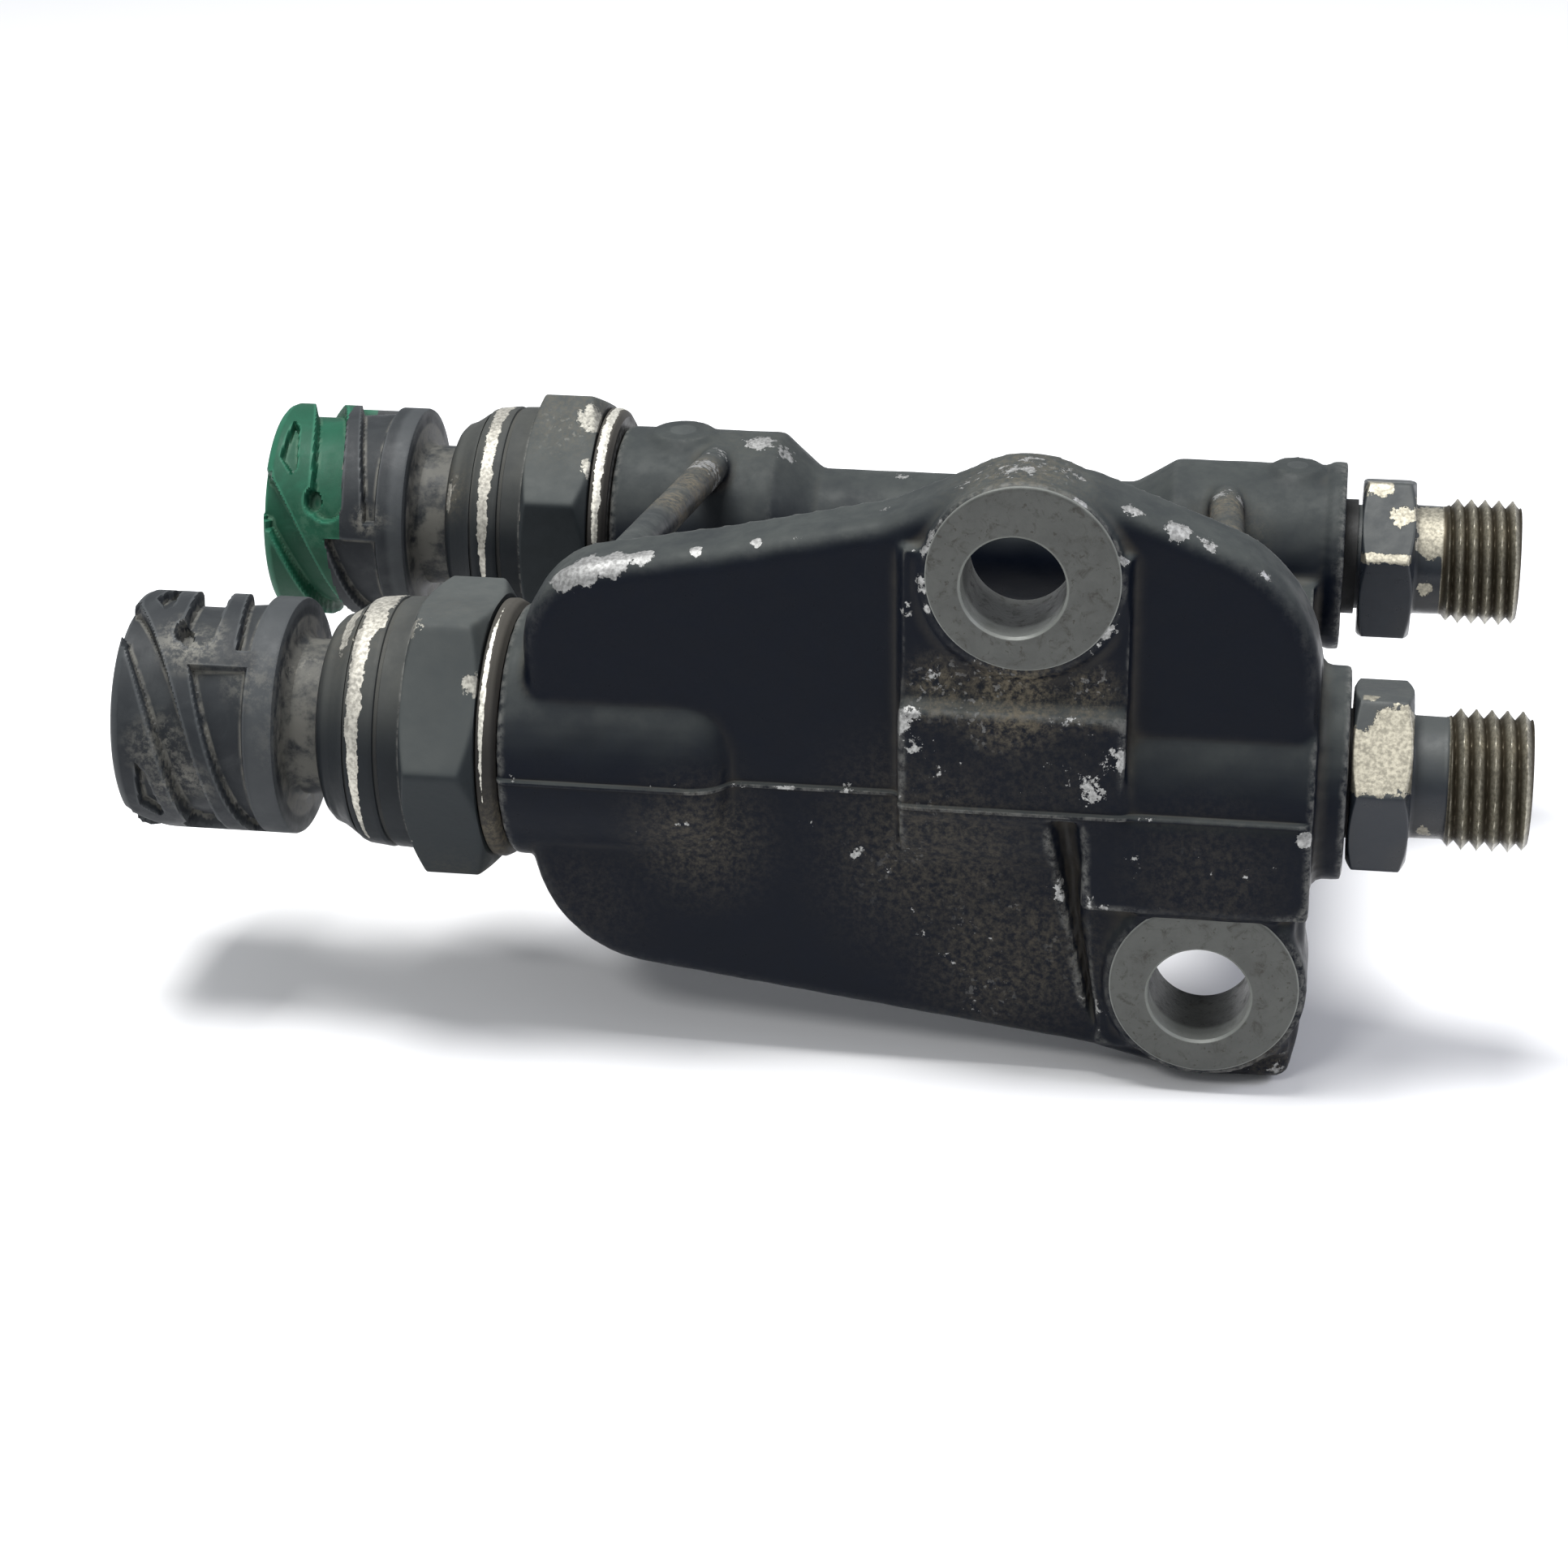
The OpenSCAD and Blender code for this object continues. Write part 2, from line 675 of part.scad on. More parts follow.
module valve_spool() {
    color([0.78, 0.76, 0.7]) {
        rod(armature_end - 3, land_starts[0] - armature_end + 3 + eps, stem_rod_r);
        rod(land_starts[0], spool_end - land_starts[0], spool_waist_r);
        for (x = land_starts) rod(x, land_len, spool_d / 2);
    }
}

module front_valve_spool() { front_station() valve_spool(); }
module rear_valve_spool() { rear_station() valve_spool(); }

ring_places = [for (i = [-1 : 1]) (sleeve_x + sleeve_end) / 2 + i * ring_spacing];

module valve_sleeve() {
    color([0.72, 0.66, 0.4])
    difference() {
        rod(sleeve_x, sleeve_len, sleeve_d / 2);
        rod(sleeve_x - 1, sleeve_len + 2, sleeve_bore_r);
        for (x = ring_places)
            ring(x - ring_r - ring_side_gap, 2 * (ring_r + ring_side_gap), sleeve_d, sleeve_d / 2 - ring_groove_depth);
        for (i = [0, 1], turn = [0, 90])
            rotate([turn, 0, 0])
            translate([(ring_places[i] + ring_places[i + 1]) / 2, 0, -sleeve_d])
            cylinder(h = 2 * sleeve_d, r = sleeve_port_r);
    }
}

module front_valve_sleeve() { front_station() valve_sleeve(); }
module rear_valve_sleeve() { rear_station() valve_sleeve(); }

module sleeve_seals() {
    color([0.1, 0.1, 0.1])
    for (x = ring_places) o_ring(x, valve_bore_r - ring_r - ring_bore_gap, ring_r);
}

module front_sleeve_seals() { front_station() sleeve_seals(); }
module rear_sleeve_seals() { rear_station() sleeve_seals(); }

// ---- Pipe unions ---------------------------------------------------------------------------

thread_count = floor(thread_len / thread_pitch);
thread_lead = 0.1;

// Male thread as a row of sharp ridges between a plain lead-in and a chamfered tip
function thread_profile(x) = concat(
    [for (i = [0 : thread_count - 1], k = [0 : 3])
        [x + thread_lead + (i + [0.06, 0.44, 0.56, 0.94][k]) * thread_pitch,
            thread_r - [thread_depth, 0, 0, thread_depth][k]]]);

module pipe_union(turn) {
    color([0.45, 0.44, 0.36])
    difference() {
        union() {
            hex_bar(union_x, union_hex_len, union_af, turn, 1);
            turned(concat([[union_x, 0], [union_x, shank_r], [thread_x, shank_r]], thread_profile(thread_x),
                [[tip_x - 0.1, thread_r - thread_depth], [tip_x, thread_r - thread_depth - 0.3], [tip_x, 0]]));
            rod(union_x - union_seal_t - union_stem_len, union_seal_t + union_stem_len + eps, union_stem_r);
        }
        rod(union_x - union_seal_t - union_stem_len - 1, union_seal_t + union_stem_len + 2, stem_bore_r);
        rod(union_x + bore_step, tip_x - union_x, union_bore_d / 2);
        rod(tip_x - bore_chamfer, bore_chamfer + eps, union_bore_d / 2, union_bore_d / 2 + bore_chamfer);
    }
}

front_union_turn = 18.7;
rear_union_turn = 11.8;

module front_union() { front_station() pipe_union(front_union_turn); }
module rear_union() { rear_station() pipe_union(rear_union_turn); }

module union_seal() {
    color([0.07, 0.07, 0.07]) ring(block_end, union_seal_t, union_seal_r, union_stem_r + seat_gap);
}

module front_union_seal() { front_station() union_seal(); }
module rear_union_seal() { rear_station() union_seal(); }

valve_block();
gallery_plugs();
front_connector_housing();
front_contact_pins();
front_connector_seal();
front_crimp_collar();
front_solenoid_case();
front_sealing_washer();
front_coil_bobbin();
front_coil_winding();
front_core_tube();
front_pole_core();
front_armature();
front_return_spring();
front_valve_spool();
front_valve_sleeve();
front_sleeve_seals();
front_stem_seal();
front_union();
front_union_seal();
rear_connector_housing();
rear_bayonet_sleeve();
rear_contact_pins();
rear_connector_seal();
rear_crimp_collar();
rear_solenoid_case();
rear_sealing_washer();
rear_coil_bobbin();
rear_coil_winding();
rear_core_tube();
rear_pole_core();
rear_armature();
rear_return_spring();
rear_valve_spool();
rear_valve_sleeve();
rear_sleeve_seals();
rear_stem_seal();
rear_union();
rear_union_seal();
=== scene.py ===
import bpy
import bmesh
import numpy as np
from math import atan2, cos, degrees, hypot, pi, radians, sin
from mathutils import Matrix, Vector


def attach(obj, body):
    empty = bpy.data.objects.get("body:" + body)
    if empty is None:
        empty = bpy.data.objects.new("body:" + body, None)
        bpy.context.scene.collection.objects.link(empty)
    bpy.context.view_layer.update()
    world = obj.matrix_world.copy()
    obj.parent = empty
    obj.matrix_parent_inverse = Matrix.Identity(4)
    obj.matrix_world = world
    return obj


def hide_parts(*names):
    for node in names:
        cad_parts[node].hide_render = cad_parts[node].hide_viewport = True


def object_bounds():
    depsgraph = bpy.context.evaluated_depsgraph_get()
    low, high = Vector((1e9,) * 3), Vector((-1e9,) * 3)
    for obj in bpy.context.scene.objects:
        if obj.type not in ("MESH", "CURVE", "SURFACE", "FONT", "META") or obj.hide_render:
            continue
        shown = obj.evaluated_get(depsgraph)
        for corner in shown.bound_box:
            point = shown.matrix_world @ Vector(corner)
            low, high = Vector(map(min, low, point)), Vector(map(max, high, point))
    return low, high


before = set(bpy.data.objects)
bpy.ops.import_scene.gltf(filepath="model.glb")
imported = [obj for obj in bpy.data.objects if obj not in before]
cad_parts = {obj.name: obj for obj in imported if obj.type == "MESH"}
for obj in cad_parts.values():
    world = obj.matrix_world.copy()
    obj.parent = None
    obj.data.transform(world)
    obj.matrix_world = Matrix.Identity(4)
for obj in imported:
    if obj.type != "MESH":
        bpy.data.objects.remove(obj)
cad_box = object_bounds()

# ---- Camera ----------------------------------------------------------------------------------
# A short telephoto lens, looking down on the side with the machined bolt faces and a little
# from the right.
camera_data = bpy.data.cameras.new("camera")
camera_data.lens = 80.23
camera_data.sensor_width = 36
camera = bpy.data.objects.new("camera", camera_data)
bpy.context.scene.collection.objects.link(camera)
camera_turn = Matrix.Rotation(0.1615, 4, "Z") @ Matrix.Rotation(pi / 2 - 0.4477, 4, "X")
camera_turn = camera_turn @ Matrix.Rotation(-0.0136, 4, "Z")
camera.matrix_world = Matrix.Translation((0.02739, -0.30353, 0.12593)) @ camera_turn
bpy.context.scene.camera = camera

# ---- Valve block ------------------------------------------------------------------------------
# One iron casting: a front and a rear barrel joined by two bridges and two round ties, with a
# web plate in front that carries the bolt bosses. Sand-cast in a mould that parts at the front
# axis, painted black, and chipped to the metal where it has been knocked.


# The upper bolt hole's place in station lengths, which is the origin of the frame
origin = np.array([90.9, -12.3, 23])


def at(x, y, z):
    """Station lengths in mm, from the front connector's face and the front axis, to metres."""
    return Vector((x - origin[0], y - origin[1], z - origin[2])) / 1000


def rod(bm, x, length, r, r_end=None, y=0, z=0):
    place = Matrix.Translation(at(x + length / 2, y, z)) @ Matrix.Rotation(pi / 2, 4, "Y")
    bmesh.ops.create_cone(bm, cap_ends=True, segments=128, radius1=r / 1000,
                          radius2=(r if r_end is None else r_end) / 1000, depth=length / 1000, matrix=place)


def cross_rod(bm, x, z, y, length, r):
    place = Matrix.Translation(at(x, y + length / 2, z)) @ Matrix.Rotation(-pi / 2, 4, "X")
    bmesh.ops.create_cone(bm, cap_ends=True, segments=96, radius1=r / 1000, radius2=r / 1000,
                          depth=length / 1000, matrix=place)


def brick(bm, low, high):
    a, b = at(*low), at(*high)
    place = Matrix.Translation((a + b) / 2) @ Matrix.Diagonal((*(b - a), 1))
    return bmesh.ops.create_cube(bm, size=1, matrix=place)["verts"]


def strut(bm, a, b, r):
    a, b = at(*a), at(*b)
    place = Matrix.Translation((a + b) / 2) @ (b - a).to_track_quat("Z", "Y").to_matrix().to_4x4()
    bmesh.ops.create_cone(bm, cap_ends=True, segments=32, radius1=r / 1000, radius2=r / 1000,
                          depth=(b - a).length, matrix=place)


def lathe(bm, points, y=0, z=0, steps=192):
    """A closed profile of (length, radius) pairs, turned round a station's axis."""
    verts = [bm.verts.new(at(x, y, z + r)) for x, r in points]
    edges = [bm.edges.new((verts[i - 1], verts[i])) for i in range(len(verts))]
    bmesh.ops.spin(bm, geom=verts + edges, cent=at(0, y, z), axis=(1, 0, 0), angle=2 * pi, steps=steps,
                   use_merge=True, use_duplicate=False)
    bmesh.ops.remove_doubles(bm, verts=bm.verts, dist=2e-6)
    bmesh.ops.recalc_face_normals(bm, faces=bm.faces)


def fine(points, step):
    """The same profile with no stretch longer than step."""
    out = []
    for (x0, r0), (x1, r1) in zip(points, points[1:] + points[:1]):
        n = max(1, round(hypot(x1 - x0, r1 - r0) / step))
        out += [(x0 + (x1 - x0) * i / n, r0 + (r1 - r0) * i / n) for i in range(n)]
    return out


def new_piece(name, bm):
    mesh = bpy.data.meshes.new(name)
    bm.to_mesh(mesh)
    bm.free()
    piece = bpy.data.objects.new(name, mesh)
    bpy.context.scene.collection.objects.link(piece)
    return piece


def apply_all(piece):
    done = piece.evaluated_get(bpy.context.evaluated_depsgraph_get())
    old = piece.data
    piece.data = bpy.data.meshes.new_from_object(done)
    piece.modifiers.clear()
    bpy.data.meshes.remove(old)
    piece.data.name = piece.name


def cast_skin(piece, grain, passes):
    """Joins overlapping solids into one skin and rounds its edges, as sand casting does."""
    skin = piece.modifiers.new("skin", "REMESH")
    skin.mode = "VOXEL"
    skin.voxel_size = grain / 1000
    soften = piece.modifiers.new("soften", "SMOOTH")
    soften.factor = 0.5
    soften.iterations = passes
    apply_all(piece)


def cut(piece, bm):
    tool = new_piece("cutter", bm)
    joint = piece.modifiers.new("cut", "BOOLEAN")
    joint.operation = "DIFFERENCE"
    joint.solver = "EXACT"
    joint.object = tool
    apply_all(piece)
    bpy.data.objects.remove(tool)


def arrays(mesh):
    co = np.empty(len(mesh.vertices) * 3, dtype=np.float32)
    mesh.vertices.foreach_get("co", co)
    no = np.empty(len(mesh.vertices) * 3, dtype=np.float32)
    mesh.vertices.foreach_get("normal", no)
    ed = np.empty(len(mesh.edges) * 2, dtype=np.int32)
    mesh.edges.foreach_get("vertices", ed)
    return co.reshape(-1, 3).astype(float), no.reshape(-1, 3).astype(float), ed.reshape(-1, 2)


def station_places(mesh, y=0, z=0):
    """A mesh's points in mm from a station's axis, and their angle from the top in degrees."""
    place = arrays(mesh)[0] * 1000 + (origin - (0, y, z))
    return place, np.degrees(np.arctan2(-place[:, 1], place[:, 2]))


def rescale(mesh, place, scale, y, z):
    """Moves the points to scale times their distance from the station's axis."""
    place[:, 1] = place[:, 1] * scale + y
    place[:, 2] = place[:, 2] * scale + z
    mesh.vertices.foreach_set("co", ((place - origin) / 1000).astype(np.float32).ravel())
    mesh.update()


def spread(values, edges, passes):
    """Each value drawn towards its neighbours' mean."""
    count = np.bincount(edges.ravel(), minlength=len(values)).clip(1)
    for _ in range(passes):
        total = np.zeros_like(values)
        for k in range(values.shape[1]):
            total[:, k] = (np.bincount(edges[:, 0], values[edges[:, 1], k], len(values))
                           + np.bincount(edges[:, 1], values[edges[:, 0], k], len(values)))
        values = total / count[:, None]
    return values


def mark(piece, bare=(), dusty=(), reach=6):
    """Stores how exposed each edge is, and where knocks and dust have gathered.

    A place is (x, y, z, reach in mm, strength), in station lengths.
    """
    co, no, ed = arrays(piece.data)
    hollow = (spread(co, ed, reach) - co) * 1000
    edge = -np.einsum("ij,ij->i", hollow, no)
    for name, places in (("edge", None), ("bare", bare), ("dusty", dusty)):
        value = edge
        if places is not None:
            value = np.zeros(len(co))
            for x, y, z, size, strength in places:
                far = np.linalg.norm((co - np.array(at(x, y, z))) * 1000, axis=1)
                value = np.maximum(value, strength * np.clip(1.4 - far / size, 0, 1))
        layer = piece.data.attributes.new(name, "FLOAT", "POINT")
        layer.data.foreach_set("value", value.astype(np.float32))


def node(tree, kind, **sockets):
    made = tree.nodes.new(kind)
    for key, value in sockets.items():
        if key.startswith("set_"):
            setattr(made, key[4:], value)
            continue
        socket = made.inputs[int(key[1:])] if key[1:].isdigit() else made.inputs[key.replace("_", " ")]
        if isinstance(value, bpy.types.NodeSocket):
            tree.links.new(value, socket)
        else:
            socket.default_value = value
    return made


def math(tree, operation, a, b=0.0, c=0.0):
    return node(tree, "ShaderNodeMath", set_operation=operation, i0=a, i1=b, i2=c).outputs[0]


def ramp(tree, value, low, high, a=0.0, b=1.0):
    """Smooth step of value from low to high."""
    return node(tree, "ShaderNodeMapRange", set_interpolation_type="SMOOTHSTEP", Value=value, i1=low, i2=high,
                i3=a, i4=b).outputs[0]


def speckle(tree, scale, detail=4.0, rough=0.55, warp=0.0):
    """Noise on the object's own coordinates; scale is in grains per metre."""
    place = tree.nodes.get("place") or node(tree, "ShaderNodeTexCoord", set_name="place")
    return node(tree, "ShaderNodeTexNoise", Vector=place.outputs["Object"], Scale=scale, Detail=detail,
                Roughness=rough, Distortion=warp).outputs["Fac"]


def reading(tree, name):
    return node(tree, "ShaderNodeAttribute", set_attribute_name=name).outputs["Fac"]


def upward(tree):
    """How far the surface faces upwards."""
    normal = node(tree, "ShaderNodeNewGeometry").outputs["Normal"]
    return node(tree, "ShaderNodeSeparateXYZ", i0=normal).outputs[2]


def tone_of(colour, share):
    return tuple(min(1, c * share) for c in colour[:3]) + (1,)


def blend(tree, amount, a, b):
    return node(tree, "ShaderNodeMix", set_data_type="RGBA", i0=amount, i6=a, i7=b).outputs[2]


def new_material(name):
    material = bpy.data.materials.new(name)
    material.use_nodes = True
    return material, material.node_tree, material.node_tree.nodes["Principled BSDF"]


def painted_metal(name, paint, top_dust_and_light, metal, dirt=(0.12, 0.103, 0.073, 1), chips=0.0, edge_chips=1.0,
                  gloss=0.33, sheen=0.08, grain=0.03, top_dust_and_light_level=0.75, over=False):
    """Black paint over metal: upward faces paler, partly from dust and partly as painted light from above,
    brown dirt, and chips down to the metal.

    With over, the dirt lies on the bare metal too, as it does in a thread.
    """
    material, tree, shader = new_material(name)
    fine_noise = speckle(tree, 1500, 3)
    patch = speckle(tree, 420, 6, 0.62)
    broad = speckle(tree, 90, 3)
    up = upward(tree)
    edge = reading(tree, "edge")
    bare = reading(tree, "bare")
    dusty = reading(tree, "dusty")
    # Upward faces blend to the pale top colour: partly a dust film, partly painted light from the overhead
    # lamp.
    top_dust_and_light_patch = ramp(tree, broad, 0.25, 0.6, top_dust_and_light_level * 0.7, top_dust_and_light_level)
    top_dust_and_light_mask = math(tree, "MULTIPLY", ramp(tree, up, 0.05, 0.85), top_dust_and_light_patch)
    colour = blend(tree, top_dust_and_light_mask, paint, top_dust_and_light)
    colour = blend(tree, ramp(tree, patch, 0.3, 0.75, 0.0, 0.25), colour, tone_of(paint, 1.7))
    flakes = speckle(tree, 1150, 5, 0.72)
    # Convex edges painted lighter: partly rubbed paint, partly a painted highlight.
    rubbed_and_highlit = math(tree, "MULTIPLY", ramp(tree, edge, 0.09, 0.3), ramp(tree, flakes, 0.35, 0.65, 0.0, 0.6))
    colour = blend(tree, rubbed_and_highlit, colour, (0.15, 0.15, 0.14, 1))
    grains = ramp(tree, speckle(tree, 1500, 6, 0.75), 0.36, 0.7)
    grime = math(tree, "MULTIPLY", math(tree, "MULTIPLY", dusty, dusty), grains)
    in_corner = ramp(tree, edge, -0.02, -0.25, 0.0, 0.35)
    grime = math(tree, "MAXIMUM", grime, math(tree, "MULTIPLY", in_corner, patch))
    if not over:
        colour = blend(tree, grime, colour, dirt)
    at_edge = math(tree, "MULTIPLY", edge, 0.32 * edge_chips)
    flake = math(tree, "ADD", math(tree, "MULTIPLY", bare, 0.62), at_edge)
    flake = math(tree, "ADD", flake, math(tree, "MULTIPLY", patch, 0.55))
    flake = math(tree, "ADD", flake, math(tree, "MULTIPLY", flakes, 0.62))
    flake = math(tree, "ADD", flake, math(tree, "MULTIPLY", fine_noise, 0.1))
    chip = ramp(tree, flake, 1.0 - chips, 1.02 - chips)
    specks = ramp(tree, speckle(tree, 1700, 3, 0.5), 0.60, 0.64)
    specks = math(tree, "MULTIPLY", specks, ramp(tree, broad, 0.48, 0.6))
    specks = math(tree, "MULTIPLY", specks, ramp(tree, dusty, 0.3, 0.8))
    chip = math(tree, "MAXIMUM", chip, math(tree, "MULTIPLY", specks, 0.35))
    bright = blend(tree, ramp(tree, speckle(tree, 2600, 4), 0.3, 0.7), tone_of(metal, 0.5), metal)
    colour = blend(tree, chip, colour, bright)
    if over:
        colour = blend(tree, dusty, colour, dirt)
    tree.links.new(colour, shader.inputs["Base Color"])
    tree.links.new(math(tree, "MULTIPLY", chip, 0.75), shader.inputs["Metallic"])
    rough = ramp(tree, patch, 0.3, 0.7, gloss - 0.06, gloss + 0.1)
    rough = math(tree, "ADD", rough, math(tree, "MULTIPLY", math(tree, "MAXIMUM", top_dust_and_light_mask, grime), 0.28))
    tree.links.new(rough, shader.inputs["Roughness"])
    shader.inputs["Specular IOR Level"].default_value = sheen
    pebble = math(tree, "MULTIPLY", speckle(tree, 500, 2), 0.8)
    height = math(tree, "ADD", math(tree, "MULTIPLY", fine_noise, 0.5), pebble)
    height = math(tree, "SUBTRACT", height, math(tree, "MULTIPLY", chip, 1.2))
    bump = node(tree, "ShaderNodeBump", Strength=0.9, Distance=grain / 1000, Height=height)
    tree.links.new(bump.outputs[0], shader.inputs["Normal"])
    return material


axis_gap = 54
rear_rise = 1.4
web_front = -10.2
web_t = 7
pad_front = -13.2
body_back = -4
# Each corner of the web plate: length, height, radius
web_corners = [(42.4, 20.9, 7.5), (42.6, -19.9, 11), (99, -27.4, 0), (105.9, -29.2, 0), (110.8, -30.1, 0),
               (118.9, -29.8, 1.2), (119.9, -24.6, 0.8), (120.1, 23.2, 9.5), (97.6, 32, 0), (85.4, 31.4, 0),
               (78.5, 28.2, 0), (62.4, 24.6, 0)]

bm = bmesh.new()
outline = [bm.verts.new(at(x, web_front, z)) for x, z, r in web_corners]
front_face = bm.faces.new(outline)
grown = bmesh.ops.extrude_face_region(bm, geom=[front_face], use_keep_orig=True)["geom"]
bmesh.ops.translate(bm, vec=(0, web_t / 1000, 0),
                    verts=[g for g in grown if isinstance(g, bmesh.types.BMVert)])
bmesh.ops.recalc_face_normals(bm, faces=bm.faces)
for x, z, r in web_corners:
    if r:
        here = at(x, web_front + web_t / 2, z)
        corner = [e for e in bm.edges if ((e.verts[0].co + e.verts[1].co) / 2 - here).length < 1e-4]
        bmesh.ops.bevel(bm, geom=corner, offset=r / 1000, offset_type="OFFSET", segments=10, profile=0.5,
                        affect="EDGES", material=-1)
front_y = at(0, web_front, 0).y
rim = [e for e in bm.edges if all(abs(v.co.y - front_y) < 1e-6 for v in e.verts)]
bmesh.ops.bevel(bm, geom=rim, offset=0.0019, offset_type="OFFSET", segments=5, profile=0.5,
                affect="EDGES", material=-1)

# Front barrel, with a rounded nose at the recess
nose_x, nose_len, nose_drop, inner_r = 59, 4.2, 3.2, 9.6
rod(bm, 40, nose_x - 40, inner_r + nose_drop)
for i in range(6):
    a, b = radians(i * 15), radians(i * 15 + 15)
    rod(bm, nose_x + nose_len * sin(a), nose_len * (sin(b) - sin(a)),
        inner_r + nose_drop * cos(a), inner_r + nose_drop * cos(b))
rod(bm, nose_x, 24, 9.7)
rod(bm, 80, 40.1, 12.6)
rod(bm, 119, 4.1, 10.6)
# Rear barrel, waisted between its two ends
rod(bm, 40, 18.2, 11.2, y=axis_gap, z=rear_rise)
rod(bm, 58.1, 4.6, 11.2, 7.3, axis_gap, rear_rise)
rod(bm, 62, 37, 7.3, y=axis_gap, z=rear_rise)
rod(bm, 98.4, 4.7, 7.3, 10.1, axis_gap, rear_rise)
rod(bm, 103, 17.6, 10.1, y=axis_gap, z=rear_rise)
rod(bm, 120.4, 1.6, 10.5, y=axis_gap, z=rear_rise)
# Bolt bosses, the column under the upper one, and the two flat pads
cross_rod(bm, 91.7, 23.5, -12.2, 9.3, 9.9)
cross_rod(bm, 110.4, -18.5, -12.2, 9.3, 10.0)
brick(bm, (80, -11.3, 12.6), (102, body_back, 26))
slope = brick(bm, (80, -11.3, 8.6), (102, body_back, 13))
for v in slope:
    if v.co.y < at(0, -8, 0).y and v.co.z < at(0, 0, 10).z:
        v.co.y = at(0, -12.3, 0).y
brick(bm, (80, pad_front, -1), (102, body_back, 10.4))
brick(bm, (98, pad_front, -10.4), (120.1, body_back, -0.8))
for v in brick(bm, (97.6, -11.0, -26.4), (118.9, body_back, -0.4)):
    if v.co.z < at(0, 0, -20).z and v.co.x < at(100, 0, 0).x:
        v.co.x = at(99.9, 0, 0).x
# Bridges and ties
brick(bm, (44, 0, -8), (64, axis_gap, 2))
brick(bm, (104, 0, -8), (119, axis_gap, 2))
strut(bm, (51.5, -3.9, 20.3), (51.5, 51, 10.6), 1.9)
strut(bm, (111.4, -3.9, 13), (108.6, 53, 9), 1.9)
for x, r, top in ((47, 3.2, 11.2), (116.4, 2.6, 10.1)):
    place = Matrix.Translation(at(x, axis_gap, rear_rise + top - 0.35))
    bmesh.ops.create_cone(bm, cap_ends=True, segments=48, radius1=(r + 1.9) / 1000, radius2=(r + 0.1) / 1000,
                          depth=0.0017, matrix=place)
block = new_piece("valve_block_casting", bm)
cast_skin(block, 0.5, 3)

# The valley beside the lower pad, which narrows downwards, and the sand-cast skin's slight waviness
valley_depth, wave_height = 0.0017, 0.00002
co, no, _ = arrays(block.data)
x, y, z = (co * 1000 + origin).T
half = np.interp(z, [-25, -13, -9, -1.5], [0.35, 0.5, 1.0, 1.4])
middle = np.interp(z, [-25, -12, -1.5], [99.7, 97.3, 96.2])
valley = np.clip(1.2 - np.abs(x - middle) / half, 0, 1)
valley *= np.clip((-0.7 - z) / 0.6, 0, 1) * np.clip((z + 25) / 3, 0, 1)
co[:, 1] += valley_depth * valley * np.clip(-8.5 - y, 0, 1)
wave = np.sin(x * 0.9 + 1.3 * np.sin(z * 0.5)) * np.sin(z * 1.1 + 0.7 * np.sin(y * 0.6 + x * 0.3))
co += no * (wave * wave_height)[:, None]
block.data.vertices.foreach_set("co", co.astype(np.float32).ravel())
block.data.update()

# The bolt holes, the stepped bores and the supply port
hole_r = 5.35
port_r = 0.0051
bore_line = [(39, 0), (39, 9.0), (54.5, 9.0), (54.5, 4.95), (106, 4.95), (106, 5.65), (124, 5.65), (124, 0)]
upper_hole, lower_hole = (90.9, 23), (109.9, -19.4)
for x, z in (upper_hole, lower_hole):
    bm = bmesh.new()
    cross_rod(bm, x, z, pad_front - 0.8, 14, hole_r)
    cut(block, bm)
for y, z in ((0, 0), (axis_gap, rear_rise)):
    bm = bmesh.new()
    lathe(bm, bore_line, y, z, 96)
    cut(block, bm)
bm = bmesh.new()
bmesh.ops.create_cone(bm, cap_ends=True, segments=64, radius1=port_r, radius2=port_r, depth=0.007,
                      matrix=Matrix.Translation(at(58, axis_gap / 2, -5.5)))
cut(block, bm)

# The flash line where the mould parts: a thin raised seam round the front half
seam_height = 0.00045
bm = bmesh.new()
bm.from_mesh(block.data)
for z in (-0.42, -0.16, 0.16, 0.42):
    near = [f for f in bm.faces if f.calc_center_median().y < at(0, 1, 0).y]
    near += list({e for f in near for e in f.edges}) + list({v for f in near for v in f.verts})
    bmesh.ops.bisect_plane(bm, geom=near, dist=1e-7, plane_co=at(0, 0, z), plane_no=(0, 0, 1))
bm.normal_update()
seam_z = at(0, 0, 0).z
for v in bm.verts:
    if abs(v.co.z - seam_z) < 0.0002 and v.co.y < at(0, -8, 0).y and v.co.x < at(119.6, 0, 0).x:
        v.co.y -= seam_height
bm.to_mesh(block.data)
bm.free()
block.data.shade_smooth()

